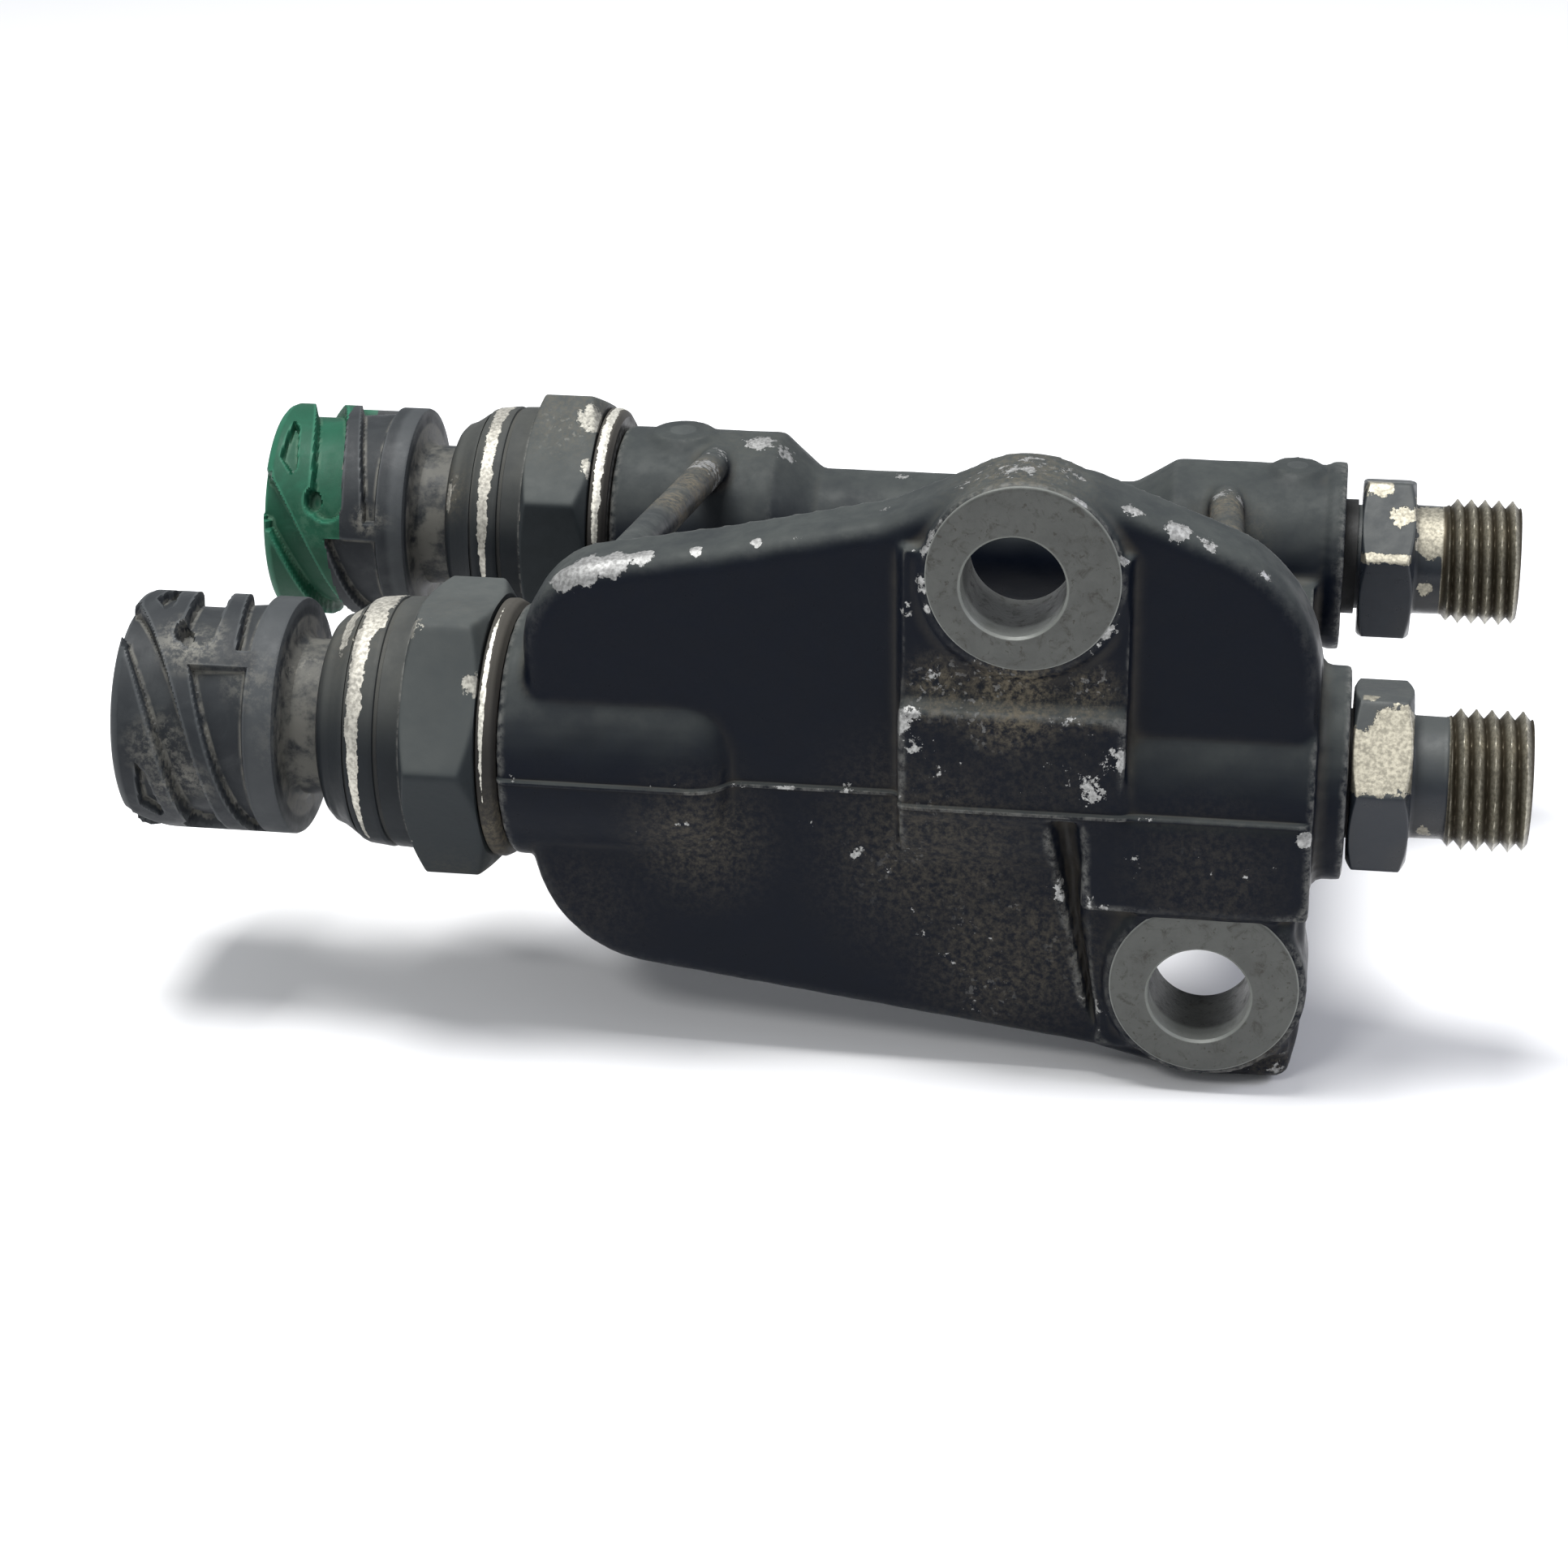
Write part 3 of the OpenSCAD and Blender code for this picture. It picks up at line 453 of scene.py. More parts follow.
# Worn places: along the seam, round the upper boss, and where knocks and dust have gathered
seam = [(x, -12.4 if x < 63 or x > 79 else -10.4, 0, 1.5, 0.33 + 0.2 * sin(x * 1.7) * sin(x * 0.61))
        for x in range(42, 119)]
boss_rim = [(91.8 + 10 * cos(a / 4), -12.2, 23.8 + 10 * sin(a / 4), 1.5,
             0.34 + 0.3 * sin(a * 1.3) * cos(a * 0.7)) for a in range(25)]
mark(block,
     bare=seam + boss_rim + [
         (47, -9.3, 20.6, 2.0, 0.9), (49.2, -9, 22, 2.3, 1), (51.6, -8.9, 22.6, 2.2, 1),
         (54.4, -8.9, 23.2, 1.6, 0.9),
         (60, -9, 23.9, 0.9, 1), (66, -9, 25.2, 0.8, 0.9), (70, -9, 26, 1.2, 0.55), (78, -6, 28.3, 1.2, 0.6),
         (86, -7, 33.2, 4, 0.5), (91, -7, 34.6, 5, 0.55), (96, -7, 33.6, 4, 0.5), (102, -9, 31, 2.4, 0.62),
         (106, -9, 28.4, 2.2, 0.6), (109, -9, 27, 1.4, 0.55), (114, -9, 24, 1.6, 0.5),
         (82, -12, 27.5, 2.4, 0.6),
         (80.8, -12, 20, 2.2, 0.6), (83.5, -12, 13.5, 1.8, 0.6), (81.2, pad_front, 9, 2.4, 0.62),
         (82, pad_front, 6.5, 2.0, 0.5), (97, pad_front, 9.0, 3.2, 0.52), (100.6, pad_front, 6, 2.6, 0.6),
         (98.5, pad_front, 2.6, 3.0, 0.6), (92, pad_front, 1.4, 2.4, 0.4), (86, pad_front, 2.2, 2.6, 0.36),
         (119.3, -13, -1.2, 0.9, 1), (103, pad_front, -5, 2.0, 0.55), (100, pad_front, -9, 2, 0.42),
         (117, pad_front, -4, 3, 0.4), (75.5, web_front, -6.5, 1.8, 0.55), (79, web_front, -8.6, 1.4, 0.45),
         (83, web_front, -13, 5, 0.4), (87, web_front, -16.5, 6, 0.44), (92, web_front, -19, 5, 0.36),
         (71, web_front, -12, 2, 0.42),
         (58, -12, -4, 3.4, 0.45), (54, -12.4, -4.5, 2.4, 0.4), (111, -13.3, 4.8, 0.8, 0.75),
         (56, axis_gap - 1.5, 12.6, 2.8, 0.68), (59.5, axis_gap - 2, 12, 2.4, 0.7),
         (62, axis_gap - 4, 10, 1.6, 0.5), (48, axis_gap - 3, 12, 2, 0.4),
         (51.5, 40, 13, 5, 0.5), (51.5, 47, 11, 4, 0.55), (109, 46, 9.6, 4, 0.5),
         (106, axis_gap - 8, 7, 2, 0.5),
         (72, axis_gap, 8.6, 2.2, 0.5), (118, -9, -28, 4, 0.42), (116, -10, -28.6, 3, 0.4),
         (96, -10, -10, 2, 0.5),
         (119.7, -11, 8, 1.6, 0.45), (84, pad_front, 6, 5, 0.42), (96, pad_front, 5, 7, 0.43),
         (110, pad_front, -5, 8, 0.375), (85, web_front, -14, 9, 0.385), (56, -12, -5, 6, 0.39),
         (88, web_front, -22, 7, 0.36), (72, web_front, -5, 6, 0.34), (100, -11, -23, 4, 0.36)],
     dusty=[(60, -12, -6, 8, 0.62), (84, -10.5, -6, 13, 0.58), (91, -10.5, -17, 11, 0.6),
            (91, -12, 11.5, 6, 1),
            (84, -12, 12, 4, 0.8), (98, -12, 12, 4, 0.8), (51.5, 20, 17.5, 6, 1), (51.5, 30, 15.5, 6, 1),
            (51.5, 39, 13.4, 6, 1), (109, 32, 11, 6, 0.9), (109, 42, 10, 6, 0.9),
            (91, -8, 34, 8, 0.7), (118, -12, -28, 6, 0.6), (48, -11, -14, 8, 0.3),
            (93, pad_front, 4, 10, 0.34), (110, pad_front, -6, 9, 0.4), (55, axis_gap, 12, 8, 0.3)])
cast_paint = painted_metal("cast_paint", (0.0028, 0.0042, 0.0080, 1), (0.058, 0.064, 0.060, 1),
                           (0.36, 0.36, 0.35, 1))
block.data.materials.append(cast_paint)
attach(block, "valve")
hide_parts("valve_block")

# ---- Machined faces and plugs -------------------------------------------------------------------
# The casting is faced and drilled at the two bolt holes, which leaves bare turned metal there.
# The drilled galleries are closed by pressed-in plugs, which keep their CAD shape.


def machined(name, colour, rough, metallic, dirt, grain, tone, dark=(0.03, 0.027, 0.022, 1)):
    """Bare machined metal with oily dirt, scratches and a fine tooth."""
    material, tree, shader = new_material(name)
    fine_noise = speckle(tree, 2200, 4, 0.6)
    patch = speckle(tree, 320, 5, 0.6)
    colour_mix = blend(tree, ramp(tree, patch, 0.3, 0.7), tone_of(colour, 1 - tone), colour)
    stain = math(tree, "MULTIPLY", ramp(tree, speckle(tree, 700, 6, 0.7, 0.6), 0.5, 0.72), dirt)
    colour_mix = blend(tree, stain, colour_mix, dark)
    pits = ramp(tree, speckle(tree, 1500, 3, 0.6), 0.62, 0.68, 0.0, dirt)
    colour_mix = blend(tree, pits, colour_mix, dark)
    # Convex edges painted much lighter: partly burnished metal, partly a painted highlight.
    rubbed_and_highlit = ramp(tree, reading(tree, "edge"), 0.03, 0.12, 0.0, 0.8)
    colour_mix = blend(tree, rubbed_and_highlit, colour_mix, tone_of(colour, 3.2))
    tree.links.new(colour_mix, shader.inputs["Base Color"])
    shader.inputs["Metallic"].default_value = metallic
    dull = math(tree, "ADD", patch, math(tree, "MULTIPLY", stain, 0.5))
    tree.links.new(ramp(tree, dull, 0.3, 0.9, rough, rough + 0.25), shader.inputs["Roughness"])
    bump = node(tree, "ShaderNodeBump", Strength=0.8, Distance=grain / 1000, Height=fine_noise)
    tree.links.new(bump.outputs[0], shader.inputs["Normal"])
    return material


boss_metal = machined("boss_metal", (0.074, 0.077, 0.071, 1), 0.4, 0.4, 0.75, 0.05, 0.3)
# From the bore to the rim: radius, depth, and share of the rim's offset from the hole
face_line = ((5.05, -2.9, 0), (5.05, -6, 0), (5.05, -9, 0), (5.05, -12.05, 0), (5.3, -12.33, 0),
             (5.5, -12.34, 0.02), (6.2, -12.34, 0.2), (7.2, -12.34, 0.45), (8.2, -12.34, 0.75),
             (8.9, -12.34, 0.97), (9.1, -12.33, 1), (9.3, -12.2, 1), (9.3, -11.6, 1))
face_sides = 144
for name, (x, z), dx in (("upper_boss_face", upper_hole, 0.9), ("lower_boss_face", lower_hole, 0.45)):
    bm = bmesh.new()
    rings = []
    for radius, y, share in face_line:
        rings.append([bm.verts.new(at(x + dx * share + radius * cos(2 * pi * k / face_sides), y,
                                      z + 0.9 * share + radius * sin(2 * pi * k / face_sides)))
                      for k in range(face_sides)])
    for near, far in zip(rings, rings[1:]):
        for k in range(face_sides):
            bm.faces.new((near[k], near[k - 1], far[k - 1], far[k]))
    bmesh.ops.recalc_face_normals(bm, faces=bm.faces)
    ring_face = min(bm.faces, key=lambda f: f.calc_center_median().y)
    if ring_face.normal.y > 0:
        bmesh.ops.reverse_faces(bm, faces=bm.faces)
    face = new_piece(name, bm)
    face.data.shade_smooth()
    face.data.set_sharp_from_angle(angle=radians(35))
    mark(face, reach=1)
    face.data.materials.append(boss_metal)
    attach(face, "valve")

# ---- Connectors -----------------------------------------------------------------------------------
# Moulded nylon plugs with a three-start bayonet: helical grooves that end in a rounded pocket,
# shallow panels between them, and a flange that a hand grips.


def within(gap, soft=0.22):
    """Depth of cut from 0 outside to 1 inside a boundary, given the signed distance in mm."""
    t = np.clip(0.5 + gap / soft, 0, 1)
    return t * t * (3 - 2 * t)


connector_r = 12.2
socket_r = 9.5
starts = (0, 120, 240)
groove_end = 9.2
groove_half = 1.7
groove_run = 148
groove_depth = 1.5
mm_per_degree = 0.213
pocket_shape = [(2.2, -59), (1.8, -35), (3.2, -26), (3.6, -29), (2.8, -55)]


def bayonet_depth(x, theta, slot_end):
    """How deep the moulded pattern is below the outer cylinder, in mm."""
    depth = np.zeros_like(x)
    for start in starts:
        phi = (theta - slot_end - start + 180) % 360 - 180
        back = np.clip(-phi, 0, groove_run) / groove_run
        right = groove_end - groove_end * back ** 2.4
        centre = right - groove_half
        straight = np.minimum(right - x, x - right + 2 * groove_half)
        straight = np.minimum(straight, (phi + groove_run + 2) * mm_per_degree)
        rounded = groove_half - np.hypot(x - centre, (phi + 8) * mm_per_degree)
        groove = np.where(phi > -8, rounded, straight)
        depth = np.maximum(depth, groove_depth * within(groove))
        keyhole = 1 - np.hypot((x - right + 3.3) / 0.75, (phi + 10.5) / 6.5)
        depth = np.maximum(depth, 2.1 * within(keyhole * 0.75))
        wall = 11.9 - 4.5 * (np.clip(-phi, 0, 110) / 110) ** 1.5
        panel = np.minimum(np.minimum(x - wall, 13.2 - x), np.minimum(phi + 110, -phi) * mm_per_degree)
        slope = 1.15 - 0.45 * np.clip((x - wall) / 5.5, 0, 1)
        depth = np.maximum(depth, slope * within(panel))
        pocket = np.full_like(x, 9.0)
        for (xa, pa), (xb, pb) in zip(pocket_shape, pocket_shape[1:] + pocket_shape[:1]):
            ex, ey = xb - xa, (pb - pa) * mm_per_degree
            side = ((x - xa) * ey - (phi - pa) * mm_per_degree * ex) / hypot(ex, ey)
            pocket = np.minimum(pocket, side)
        depth = np.maximum(depth, 1.0 * within(pocket + 0.1, 0.2))
    return depth


def moulded_plastic(name, colour, top_dust_and_light, dust, top_dust_and_light_level=0.6):
    """Glass-filled nylon: matt, paler on top partly from dust and partly as painted light from above, dusty in
    its corners, with pale rubbed edges.
    """
    material, tree, shader = new_material(name)
    fine_noise = speckle(tree, 1800, 4, 0.6)
    patch = speckle(tree, 380, 6, 0.65)
    smear = speckle(tree, 160, 5, 0.6, 1.2)
    up = upward(tree)
    edge = reading(tree, "edge")
    # Upward faces blend to the pale top colour: partly a dust film, partly painted light from above.
    top_dust_and_light_patch = ramp(tree, smear, 0.25, 0.6, top_dust_and_light_level * 0.7, top_dust_and_light_level)
    top_dust_and_light_mask = math(tree, "MULTIPLY", ramp(tree, up, -0.1, 0.9), top_dust_and_light_patch)
    base = blend(tree, top_dust_and_light_mask, colour, top_dust_and_light)
    base = blend(tree, ramp(tree, smear, 0.45, 0.7, 0.0, 0.3), base, tone_of(top_dust_and_light, 1.4))
    worn = ramp(tree, math(tree, "ADD", edge, math(tree, "MULTIPLY", patch, 0.12)), 0.14, 0.3, 0.0, 0.3)
    base = blend(tree, worn, base, tuple(min(1, c * 2.2 + 0.02) for c in top_dust_and_light[:3]) + (1,))
    settled = math(tree, "MULTIPLY", ramp(tree, edge, -0.03, -0.16), ramp(tree, patch, 0.35, 0.6))
    loose = math(tree, "MULTIPLY", reading(tree, "dusty"), ramp(tree, speckle(tree, 900, 6, 0.75), 0.42, 0.62))
    base = blend(tree, math(tree, "MAXIMUM", math(tree, "MULTIPLY", settled, 0.55), loose), base, dust)
    tree.links.new(base, shader.inputs["Base Color"])
    tree.links.new(ramp(tree, patch, 0.3, 0.7, 0.46, 0.62), shader.inputs["Roughness"])
    shader.inputs["Specular IOR Level"].default_value = 0.2
    height = math(tree, "ADD", math(tree, "MULTIPLY", fine_noise, 0.5), patch)
    bump = node(tree, "ShaderNodeBump", Strength=0.7, Distance=0.00004, Height=height)
    tree.links.new(bump.outputs[0], shader.inputs["Normal"])
    return material


black_plastic = moulded_plastic("black_plastic", (0.0095, 0.0115, 0.0145, 1), (0.030, 0.033, 0.034, 1),
                                (0.15, 0.145, 0.125, 1))
green_plastic = moulded_plastic("green_plastic", (0.003, 0.04, 0.02, 1), (0.010, 0.078, 0.044, 1),
                                (0.06, 0.13, 0.085, 1))


def connector_body(y, z, slot_end, shift, flange_end):
    """Profile from the socket floor, over the mouth and the flange, to the neck inside the collar."""
    rim = [(0, 9.55), (0, 11.2), (0.12, 11.65), (0.4, 11.98), (0.95, connector_r)]
    barrel = fine([(0.95, connector_r), (14.2, connector_r)], 0.2)[:66] + [(14.2, connector_r)]
    tail = [(flange_end - 0.35, connector_r), (flange_end - 0.1, 12.08), (flange_end, 11.8), (flange_end, 8.9),
            (flange_end + 0.2, 8.4), (flange_end + 0.7, 8.0), (21.65, 8.0), (21.65, 9.45), (24.85, 11.65),
            (25.65, 11.65), (25.65, 0), (12, 0), (12, 9.1), (6.7, 9.1), (6.7, 9.4), (0.15, 9.4)]
    bm = bmesh.new()
    lathe(bm, rim + barrel[1:] + tail, y, z, 384)
    piece = new_piece("connector", bm)
    place, theta = station_places(piece.data, y, z)
    radius = np.hypot(place[:, 1], place[:, 2])
    depth = bayonet_depth(place[:, 0] - shift, theta, slot_end)
    outside = (radius > socket_r) & (place[:, 0] < flange_end - 0.5)
    new_radius = np.where(outside, np.minimum(radius, connector_r - depth), radius)
    scale = np.where(radius > 1e-6, new_radius / np.maximum(radius, 1e-6), 1)
    rescale(piece.data, place, scale, y, z)
    return piece


def finish_piece(piece, name, material, replaced, angle=32):
    piece.name = piece.data.name = name
    piece.data.materials.append(material)
    piece.data.shade_smooth()
    piece.data.set_sharp_from_angle(angle=radians(angle))
    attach(piece, "valve")
    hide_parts(replaced)


front_connector = connector_body(0, 0, 34, 0.6, 17.0)
mark(front_connector, dusty=[(7.5, -6, 10.5, 3.2, 1), (19, -4, 7, 3.5, 0.8), (5, -11, 1, 3, 0.6),
                             (7, -11.5, -3, 3, 0.7), (18, -8, 2, 4, 0.45), (14.5, -9, 8, 3, 0.4)], reach=5)
finish_piece(front_connector, "front_connector_body", black_plastic,
             "front_connector_housing")

# The rear plug's groove ring is green and keys it to its own cable; the rest is black.
rear_slot_end = 75
rear_connector = connector_body(axis_gap, rear_rise, rear_slot_end, 0, 16.5)
bm = bmesh.new()
bm.from_mesh(rear_connector.data)
green_bm = bm.copy()


def sleeve_edge(theta):
    """Where the green ring ends, in mm from the connector's face: it steps with the moulded pattern."""
    ends = []
    for start in starts:
        phi = (theta - rear_slot_end - start + 180) % 360 - 180
        ends.append(7.4 + 1.8 * (phi + 110) / 110 if -110 <= phi < 0 else groove_end if 0 <= phi < 10 else 0)
    return max(ends) or 7.4


def is_green(face):
    centre = face.calc_center_median() * 1000 + Vector(origin - (0, axis_gap, rear_rise))
    if hypot(centre.y, centre.z) < socket_r:
        return centre.x < 6.7
    return centre.x < sleeve_edge(degrees(atan2(-centre.y, centre.z)))


bmesh.ops.delete(bm, geom=[f for f in bm.faces if is_green(f)], context="FACES")
bmesh.ops.delete(green_bm, geom=[f for f in green_bm.faces if not is_green(f)], context="FACES")
bpy.data.objects.remove(rear_connector)
for part_bm, name, material, slot_name, replaced in (
        (green_bm, "rear_coding_ring", green_plastic, "green_plastic", "rear_bayonet_sleeve"),
        (bm, "rear_connector_body", black_plastic, "black_plastic", "rear_connector_housing")):
    bmesh.ops.delete(part_bm, geom=[v for v in part_bm.verts if not v.link_faces], context="VERTS")
    part = new_piece(name, part_bm)
    mark(part, dusty=[(12.4, axis_gap - 11.7, 5, 1.6, 0.9), (6, axis_gap - 11, 4, 3, 0.3),
                      (19, axis_gap - 5, 6, 4, 0.35)], reach=5)
    finish_piece(part, name, material, replaced)

# ---- Crimp collars ----------------------------------------------------------------------------------
# A thin steel sleeve that is rolled over the connector's shoulder and the case's spigot. Its paint
# has worn off in a ring where the sleeve is widest.


def turned(points, inside, y, z, step=0.25, steps=288, shape=None):
    """A lathe piece, fine where it shows.

    shape(x, theta, r) may give a radius that changes round the axis.
    """
    bm = bmesh.new()
    outside = fine(points, step)
    lathe(bm, outside[:outside.index(points[-1]) + 1] + inside, y, z, steps)
    piece = new_piece("turned", bm)
    if shape:
        place, theta = station_places(piece.data, y, z)
        radius = np.hypot(place[:, 1], place[:, 2])
        scale = shape(place[:, 0], theta, radius) / np.maximum(radius, 1e-6)
        rescale(piece.data, place, scale, y, z)
    return piece


def band(piece, y, z, level, name="bare"):
    """Adds level(x, theta, r) to how bare, or how dusty, a turned piece is."""
    place, theta = station_places(piece.data, y, z)
    value = np.empty(len(place), dtype=np.float32)
    layer = piece.data.attributes[name]
    layer.data.foreach_get("value", value)
    value = np.maximum(value, level(place[:, 0], theta, np.hypot(place[:, 1], place[:, 2])))
    layer.data.foreach_set("value", value.astype(np.float32))


collar_steel = painted_metal("collar_steel", (0.012, 0.014, 0.016, 1), (0.075, 0.077, 0.070, 1),
                             (0.52, 0.50, 0.44, 1), chips=0.02, gloss=0.36)
collar_line = [(20.6, 8.05), (20.6, 8.8), (20.75, 9.4), (21.1, 10.2), (21.6, 10.7), (22.4, 11.0), (23.2, 11.5),
               (23.9, 12.0), (24.15, 12.1), (24.2, 11.95), (24.4, 11.95), (24.5, 12.45), (25, 12.65),
               (27.2, 12.9),
               (27.45, 12.8), (27.55, 12.6), (27.9, 12.6), (28, 12.85), (30.35, 12.95)]
collar_inside = [(30.35, 11.7), (24.8, 11.7), (21.62, 9.5), (21.62, 8.05)]
worn_x = 25.9
for side, y, z in (("front", 0, 0), ("rear", axis_gap, rear_rise)):
    collar = turned(collar_line, collar_inside, y, z)
    if side == "front":
        mark(collar, dusty=[(24, y - 4, z + 12, 5, 0.5), (25, y - 2, z - 12, 5, 0.4)], reach=4)
        widths = ([-60, 0, 40, 70, 105, 140], [2.2, 2.0, 1.15, 1.0, 0.5, 0.1])
        band(collar, y, z, lambda x, t, r: 1.25 - abs(x - worn_x + 0.5 * (t > 20)) / np.interp(t, *widths))
        band(collar, y, z, lambda x, t, r: 1.2 - np.hypot((x - 23.1) / 0.9, (t - 8) / 34))
    else:
        mark(collar, dusty=[(21, y - 8, z + 6, 4, 0.6)], reach=4)
        widths = ([-60, 0, 40, 75, 105, 140], [1.1, 1.25, 1.1, 0.9, 0.3, 0.1])
        band(collar, y, z, lambda x, t, r: 1.2 - abs(x - worn_x) / np.interp(t, *widths))
        band(collar, y, z, lambda x, t, r: 1.1 - np.hypot((x - 21.4) / 0.5, (t - 58) / 16))
    finish_piece(collar, side + "_collar", collar_steel, side + "_crimp_collar")

# ---- Solenoid cases and washers -----------------------------------------------------------------------
# Steel hexagon bodies that screw into the block on a stem and clamp a plated washer against it.


def hexagon(af, turn, x_from, x_to, crisp=70):
    """Shape function: flats between two lengths, blended with the turned chamfers.

    The first flat lies at turn degrees from the top.
    """
    def shape(x, theta, r):
        inside = (x > x_from) & (x < x_to) & (r > af * 0.47)
        total = np.zeros_like(x)
        for k in range(6):
            total += np.maximum(np.cos(np.radians(theta - turn - 60 * k)) / (af / 2), 0) ** crisp
        total += (1 / np.maximum(r, 1e-3)) ** crisp
        return np.where(inside, total ** (-1 / crisp), r)
    return shape


hex_steel = painted_metal("hex_steel", (0.019, 0.0225, 0.0245, 1), (0.080, 0.086, 0.081, 1),
                          (0.36, 0.35, 0.31, 1), chips=-0.03, edge_chips=0.8, gloss=0.42)
washer_steel = painted_metal("washer_steel", (0.02, 0.019, 0.018, 1), (0.075, 0.07, 0.06, 1),
                             (0.72, 0.70, 0.62, 1), gloss=0.4)
hex_af = 27
case_line = [(30.4, 12.4), (30.4, 13.7), (31.4, 15.9), (36.5, 15.9), (37.9, 13.6), (37.9, 12.4)]
case_inside = [(37.9, 8.95), (49.6, 8.95), (49.6, 7.65), (51.6, 7.65), (51.6, 8.95), (53.4, 8.95), (54, 8.35),
               (54, 5.2), (36.3, 5.2), (36.3, 10.8), (27.8, 10.8), (27.8, 11.65), (30.4, 11.65)]
washer_line = [(37.95, 12.4), (37.95, 12.8), (38.15, 13.15), (38.9, 13.2), (39.5, 12.9), (39.95, 12.2),
               (39.95, 11.6)]
washer_inside = [(39.95, 9.1), (37.95, 9.1)]
for side, y, z, turn in (("front", 0, 0, 25.6), ("rear", axis_gap, rear_rise, 2)):
    case = turned(case_line, case_inside, y, z, 0.2, 384, hexagon(hex_af, turn + 30, 30.2, 38.1))
    if side == "front":
        mark(case, dusty=[(34, y - 3, z - 15, 9, 0.6), (33, y - 2, z + 15, 6, 0.3)], reach=4,
             bare=[(31, y - 6, z + 12.5, 3, 0.7), (37.5, y - 10, z + 9, 1.8, 0.75),
                   (31.5, y - 12, z - 9, 2, 0.6)])
    else:
        mark(case, dusty=[(34, y - 2, z + 14, 9, 0.6)], reach=4,
             bare=[(37, y - 3, z + 13.3, 3, 0.8), (37.5, y - 9, z + 10, 2, 0.75),
                   (30.8, y - 12, z + 5, 1.6, 0.8)])
    finish_piece(case, side + "_hexagon_case", hex_steel, side + "_solenoid_case")
    washer = turned(washer_line, washer_inside, y, z)
    mark(washer, dusty=[(39, y - 10, z - 7, 7, 0.8)], reach=3)
    if side == "front":
        band(washer, y, z, lambda x, t, r: 1.2 - abs(x - 38.6) / 0.4 - 0.55 * ((t - 50) / 50) ** 2)
    else:
        band(washer, y, z, lambda x, t, r: 1.2 - abs(x - 38.9) / 0.8 - 0.3 * ((t - 10) / 70) ** 2)
    finish_piece(washer, side + "_washer", washer_steel, side + "_sealing_washer")

# ---- Pipe unions -----------------------------------------------------------------------------------------
# Zinc-plated steel fittings: a hexagon, a plain shank and a rolled pipe thread round a 7 mm bore.
union_zinc = painted_metal("union_zinc", (0.011, 0.014, 0.019, 1), (0.055, 0.06, 0.055, 1),
                           (0.40, 0.375, 0.30, 1), dirt=(0.05, 0.042, 0.028, 1), chips=0.05, gloss=0.32,
                           sheen=0.3, over=True)
union_af = 17.2
union_x, union_hex_end, thread_x, tip_x = 123.4, 129.2, 132.6, 140.8
thread_r, thread_pitch, root_r = 7.0, 1.5, 6.0
rear_shift = 0.00045
union_line = [(union_x, 8.0), (union_x, 8.5), (124.0, 10.0), (128.5, 10.0), (union_hex_end, 8.5),
              (union_hex_end, 6.3), (129.5, 6.05), (132.9, root_r)]
union_line += [(132.95 + 0.075 * i, thread_r) for i in range(105)] + [(tip_x, 6.1), (tip_x, 4.7)]
union_inside = [(139.6, 3.5), (123.6, 3.5), (123.4, 3.1), (111, 3.1), (111, 5.6), (111.2, 5.8), (123.4, 5.8)]


def union_shape(turn):
    flats = hexagon(union_af, turn + 30, union_x - 0.1, union_hex_end + 0.1, 90)

    def shape(x, theta, r):
        r = flats(x, theta, r)
        turns = (x - 132.4) / thread_pitch - theta / 360
        depth = 0.92 * (1 - np.abs((turns % 1) * 2 - 1)) ** 0.85
        ends = np.minimum(root_r + (x - thread_x) * 1.2, root_r + (tip_x + 0.1 - x) * 1.3)
        crest = np.minimum(thread_r, ends)
        thread = np.maximum(np.minimum(crest, thread_r - depth * 1.05), root_r - 0.05)
        return np.where((x > thread_x) & (r > root_r - 0.03), thread, r)
    return shape


for side, y, z, turn in (("front", 0, 0, 18.7), ("rear", axis_gap, rear_rise, 11.8)):
    union = turned(union_line, union_inside, y, z, 0.25, 264, union_shape(turn))
    if side == "rear":
        union.data.transform(Matrix.Translation((rear_shift, 0, 0)))
    mark(union, dusty=[(131, y - 4, z - 5, 4, 0.3)], reach=4,
         bare=[(125, y - 2, z + 9.4, 1.6, 0.6), (131, y - 5, z - 4, 1.6, 0.6)] if side == "front" else
         [(128.2, y - 5, z + 7, 1.8, 0.75), (125.5, y - 2, z + 9.2, 2.2, 0.75),
          (131.5, y - 2, z + 6, 3.4, 0.95), (131.5, y - 4.5, z + 3.6, 2.4, 0.85),
          (131, y - 6, z - 1, 1.6, 0.6)])
    if side == "front":
        band(union, y, z, lambda x, t, r: np.where(
            (x > union_x) & (x < union_hex_end + 0.1),
            1.0 - 0.75 * (abs(t - 49) / 30) ** 6
            - 0.8 * np.exp(-((x - 124.3) / 1.3) ** 2 - ((t - 30) / 10) ** 2), 0))
    else:
        band(union, y, z, lambda x, t, r: np.where(
            (x > union_x) & (x < union_hex_end + 0.1), 0.85 - abs(t - 69) / 9, 0))
    band(union, y, z, lambda x, t, r: np.where(x > thread_x + 0.1, 1.5, 0))
    band(union, y, z, lambda x, t, r: np.where(
        (x > thread_x + 0.1) & (r > root_r - 0.1), 1.05 * np.clip((6.85 - r) / 0.6, 0, 1), 0), "dusty")
    finish_piece(union, side + "_pipe_union", union_zinc, side + "_union", angle=40)

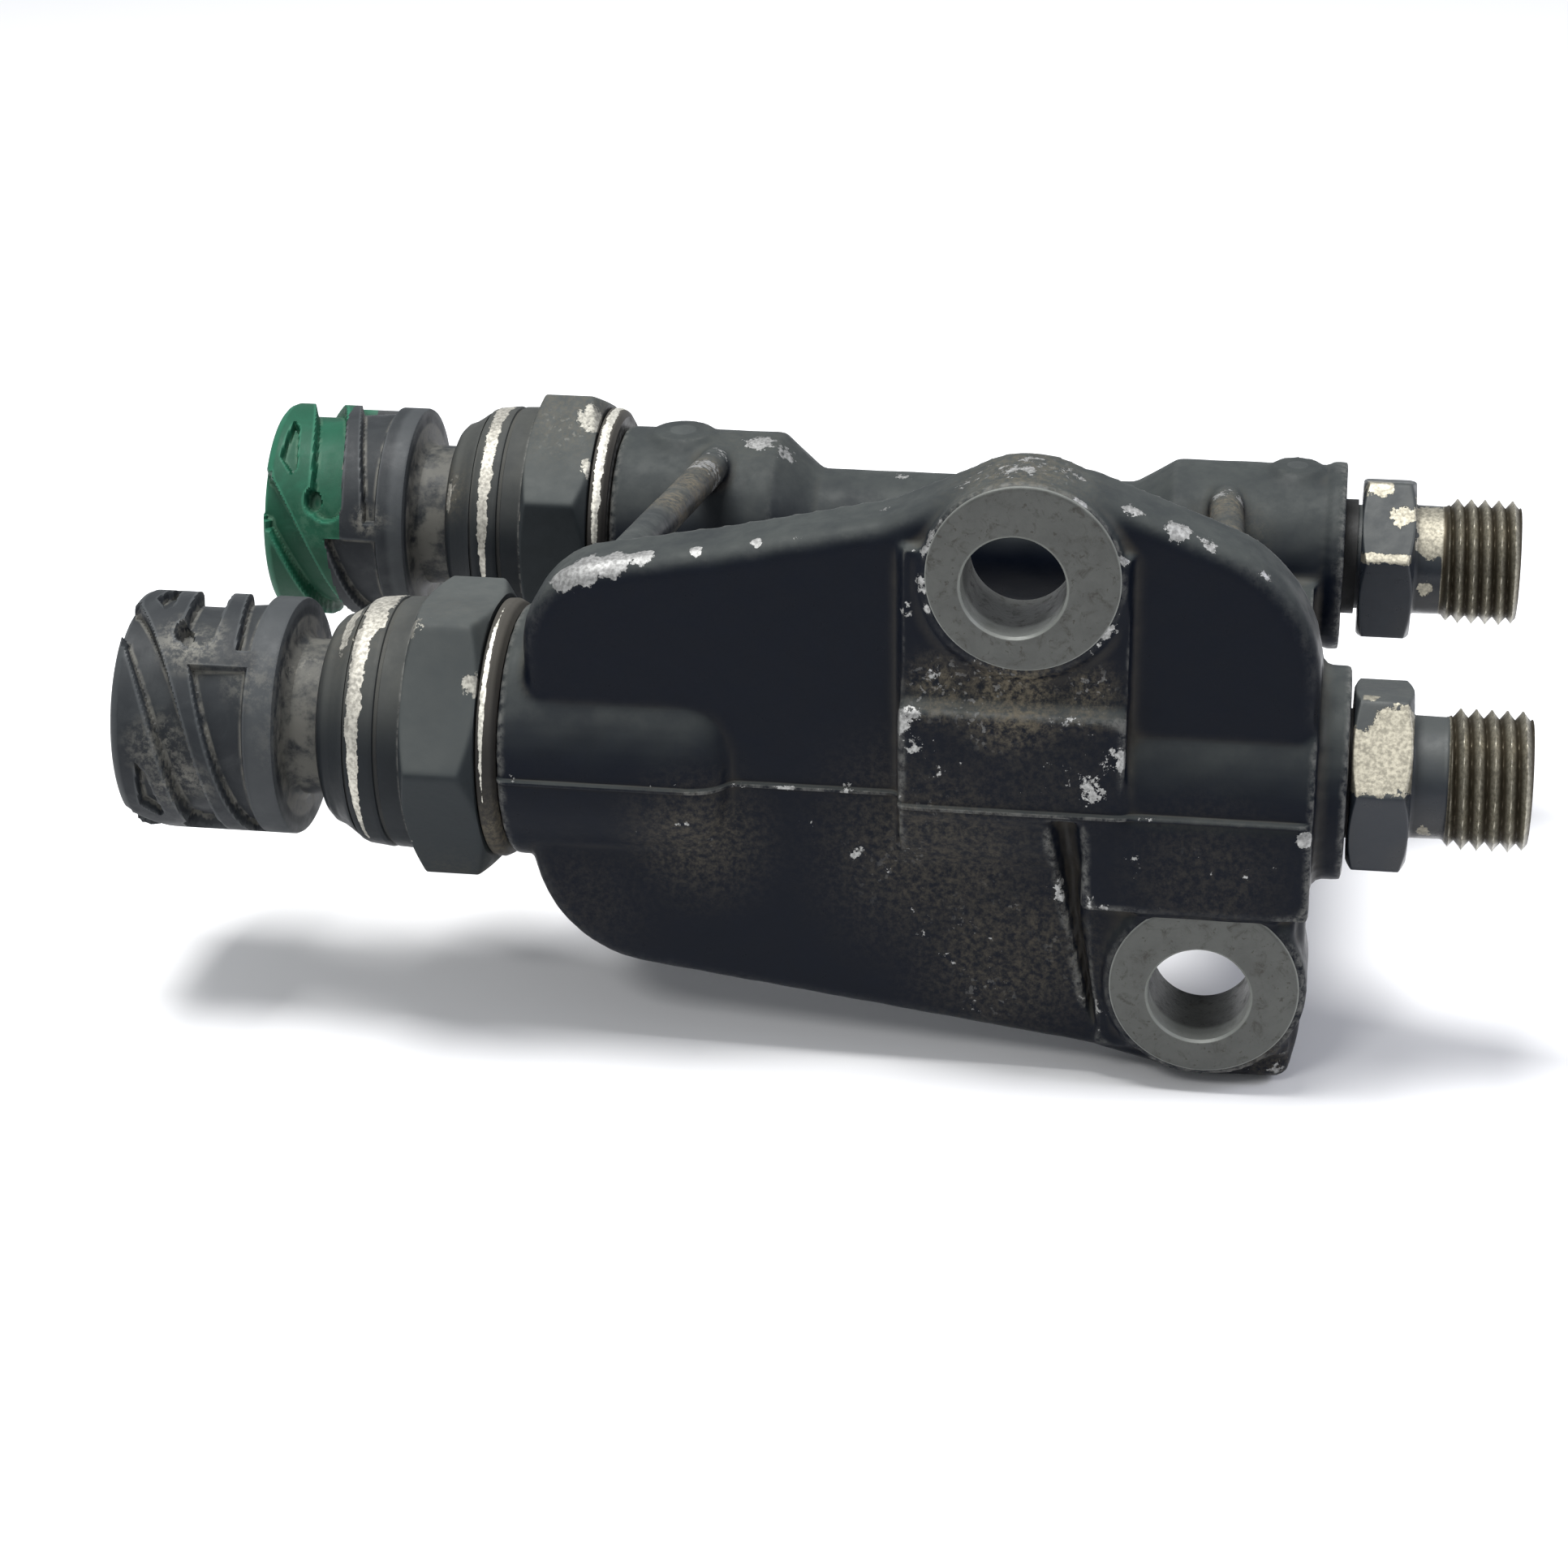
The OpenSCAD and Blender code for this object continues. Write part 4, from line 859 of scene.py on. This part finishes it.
# ---- Pieces that keep their CAD shape ----------------------------------------------------------------------
# Contact pins, seals, coils, tubes, springs and spools are plain turned or wound pieces inside the
# assembly, so only their finish is added here.
rubber_black = moulded_plastic("rubber_black", (0.011, 0.011, 0.012, 1), (0.04, 0.04, 0.038, 1),
                               (0.12, 0.11, 0.1, 1), 0.4)
rubber_orange = moulded_plastic("rubber_orange", (0.42, 0.11, 0.03, 1), (0.5, 0.17, 0.07, 1),
                                (0.3, 0.2, 0.12, 1), 0.3)
bobbin_plastic = moulded_plastic("bobbin_plastic", (0.55, 0.5, 0.38, 1), (0.6, 0.56, 0.46, 1),
                                 (0.3, 0.26, 0.2, 1), 0.3)
contact_metal = machined("contact_metal", (0.68, 0.62, 0.46, 1), 0.28, 0.95, 0.15, 0.01, 0.2)
copper_wire = machined("copper_wire", (0.62, 0.25, 0.1, 1), 0.3, 0.9, 0.2, 0.03, 0.3)
tube_steel = machined("tube_steel", (0.55, 0.55, 0.54, 1), 0.3, 1, 0.1, 0.012, 0.15)
core_steel = machined("core_steel", (0.4, 0.4, 0.4, 1), 0.36, 1, 0.2, 0.02, 0.2)
sleeve_brass = machined("sleeve_brass", (0.62, 0.46, 0.18, 1), 0.3, 1, 0.15, 0.015, 0.2)
for kind, finish in (("contact_pins", contact_metal), ("connector_seal", rubber_orange),
                     ("coil_bobbin", bobbin_plastic), ("coil_winding", copper_wire),
                     ("core_tube", tube_steel), ("pole_core", core_steel), ("armature", core_steel),
                     ("return_spring", tube_steel), ("valve_spool", tube_steel),
                     ("valve_sleeve", sleeve_brass), ("sleeve_seals", rubber_black),
                     ("stem_seal", rubber_black), ("union_seal", rubber_black)):
    for side in ("front_", "rear_"):
        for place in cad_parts[side + kind].material_slots:
            place.material = finish
plug_paint = painted_metal("plug_paint", (0.006, 0.007, 0.01, 1), (0.075, 0.082, 0.078, 1),
                           (0.4, 0.4, 0.38, 1), gloss=0.4)
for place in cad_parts["gallery_plugs"].material_slots:
    place.material = plug_paint

# ---- Studio -----------------------------------------------------------------------------------
# A pale floor in a dim, even room, with one overhead softbox, a small box in front and a cool one
# to the right.
world = bpy.data.worlds.new("studio")
world.use_nodes = True
world.node_tree.nodes["Background"].inputs["Color"].default_value = (0.92, 0.95, 1, 1)
world.node_tree.nodes["Background"].inputs["Strength"].default_value = 0.5
bpy.context.scene.world = world
white, cool = (1, 1, 1), (0.85, 0.86, 1)
for name, place, size, watts, tint in (("softbox", (-0.1, 0.02, 0.62), 0.3, 6.6, white),
                                       ("fill", (0.62, 0.0, 0.44), 0.24, 1.8, cool),
                                       ("front_box", (-0.2, -0.5, 0.5), 0.16, 1.4, white)):
    lamp = bpy.data.objects.new(name, bpy.data.lights.new(name, "AREA"))
    lamp.data.size = size
    lamp.data.energy = watts
    lamp.data.color = tint
    lamp.location = place
    lamp.rotation_euler = (-Vector(place)).to_track_quat("-Z", "Y").to_euler()
    bpy.context.scene.collection.objects.link(lamp)
bpy.context.scene.view_settings.view_transform = "Standard"

bm = bmesh.new()
floor_place = Matrix.Translation((0, 0, cad_box[0][2] - 0.0005))
bmesh.ops.create_grid(bm, x_segments=1, y_segments=1, size=3, matrix=floor_place)
floor = new_piece("floor", bm)
floor_material, _, shader = new_material("floor")
shader.inputs["Base Color"].default_value = (0.8, 0.8, 0.8, 1)
shader.inputs["Roughness"].default_value = 0.9
floor.data.materials.append(floor_material)
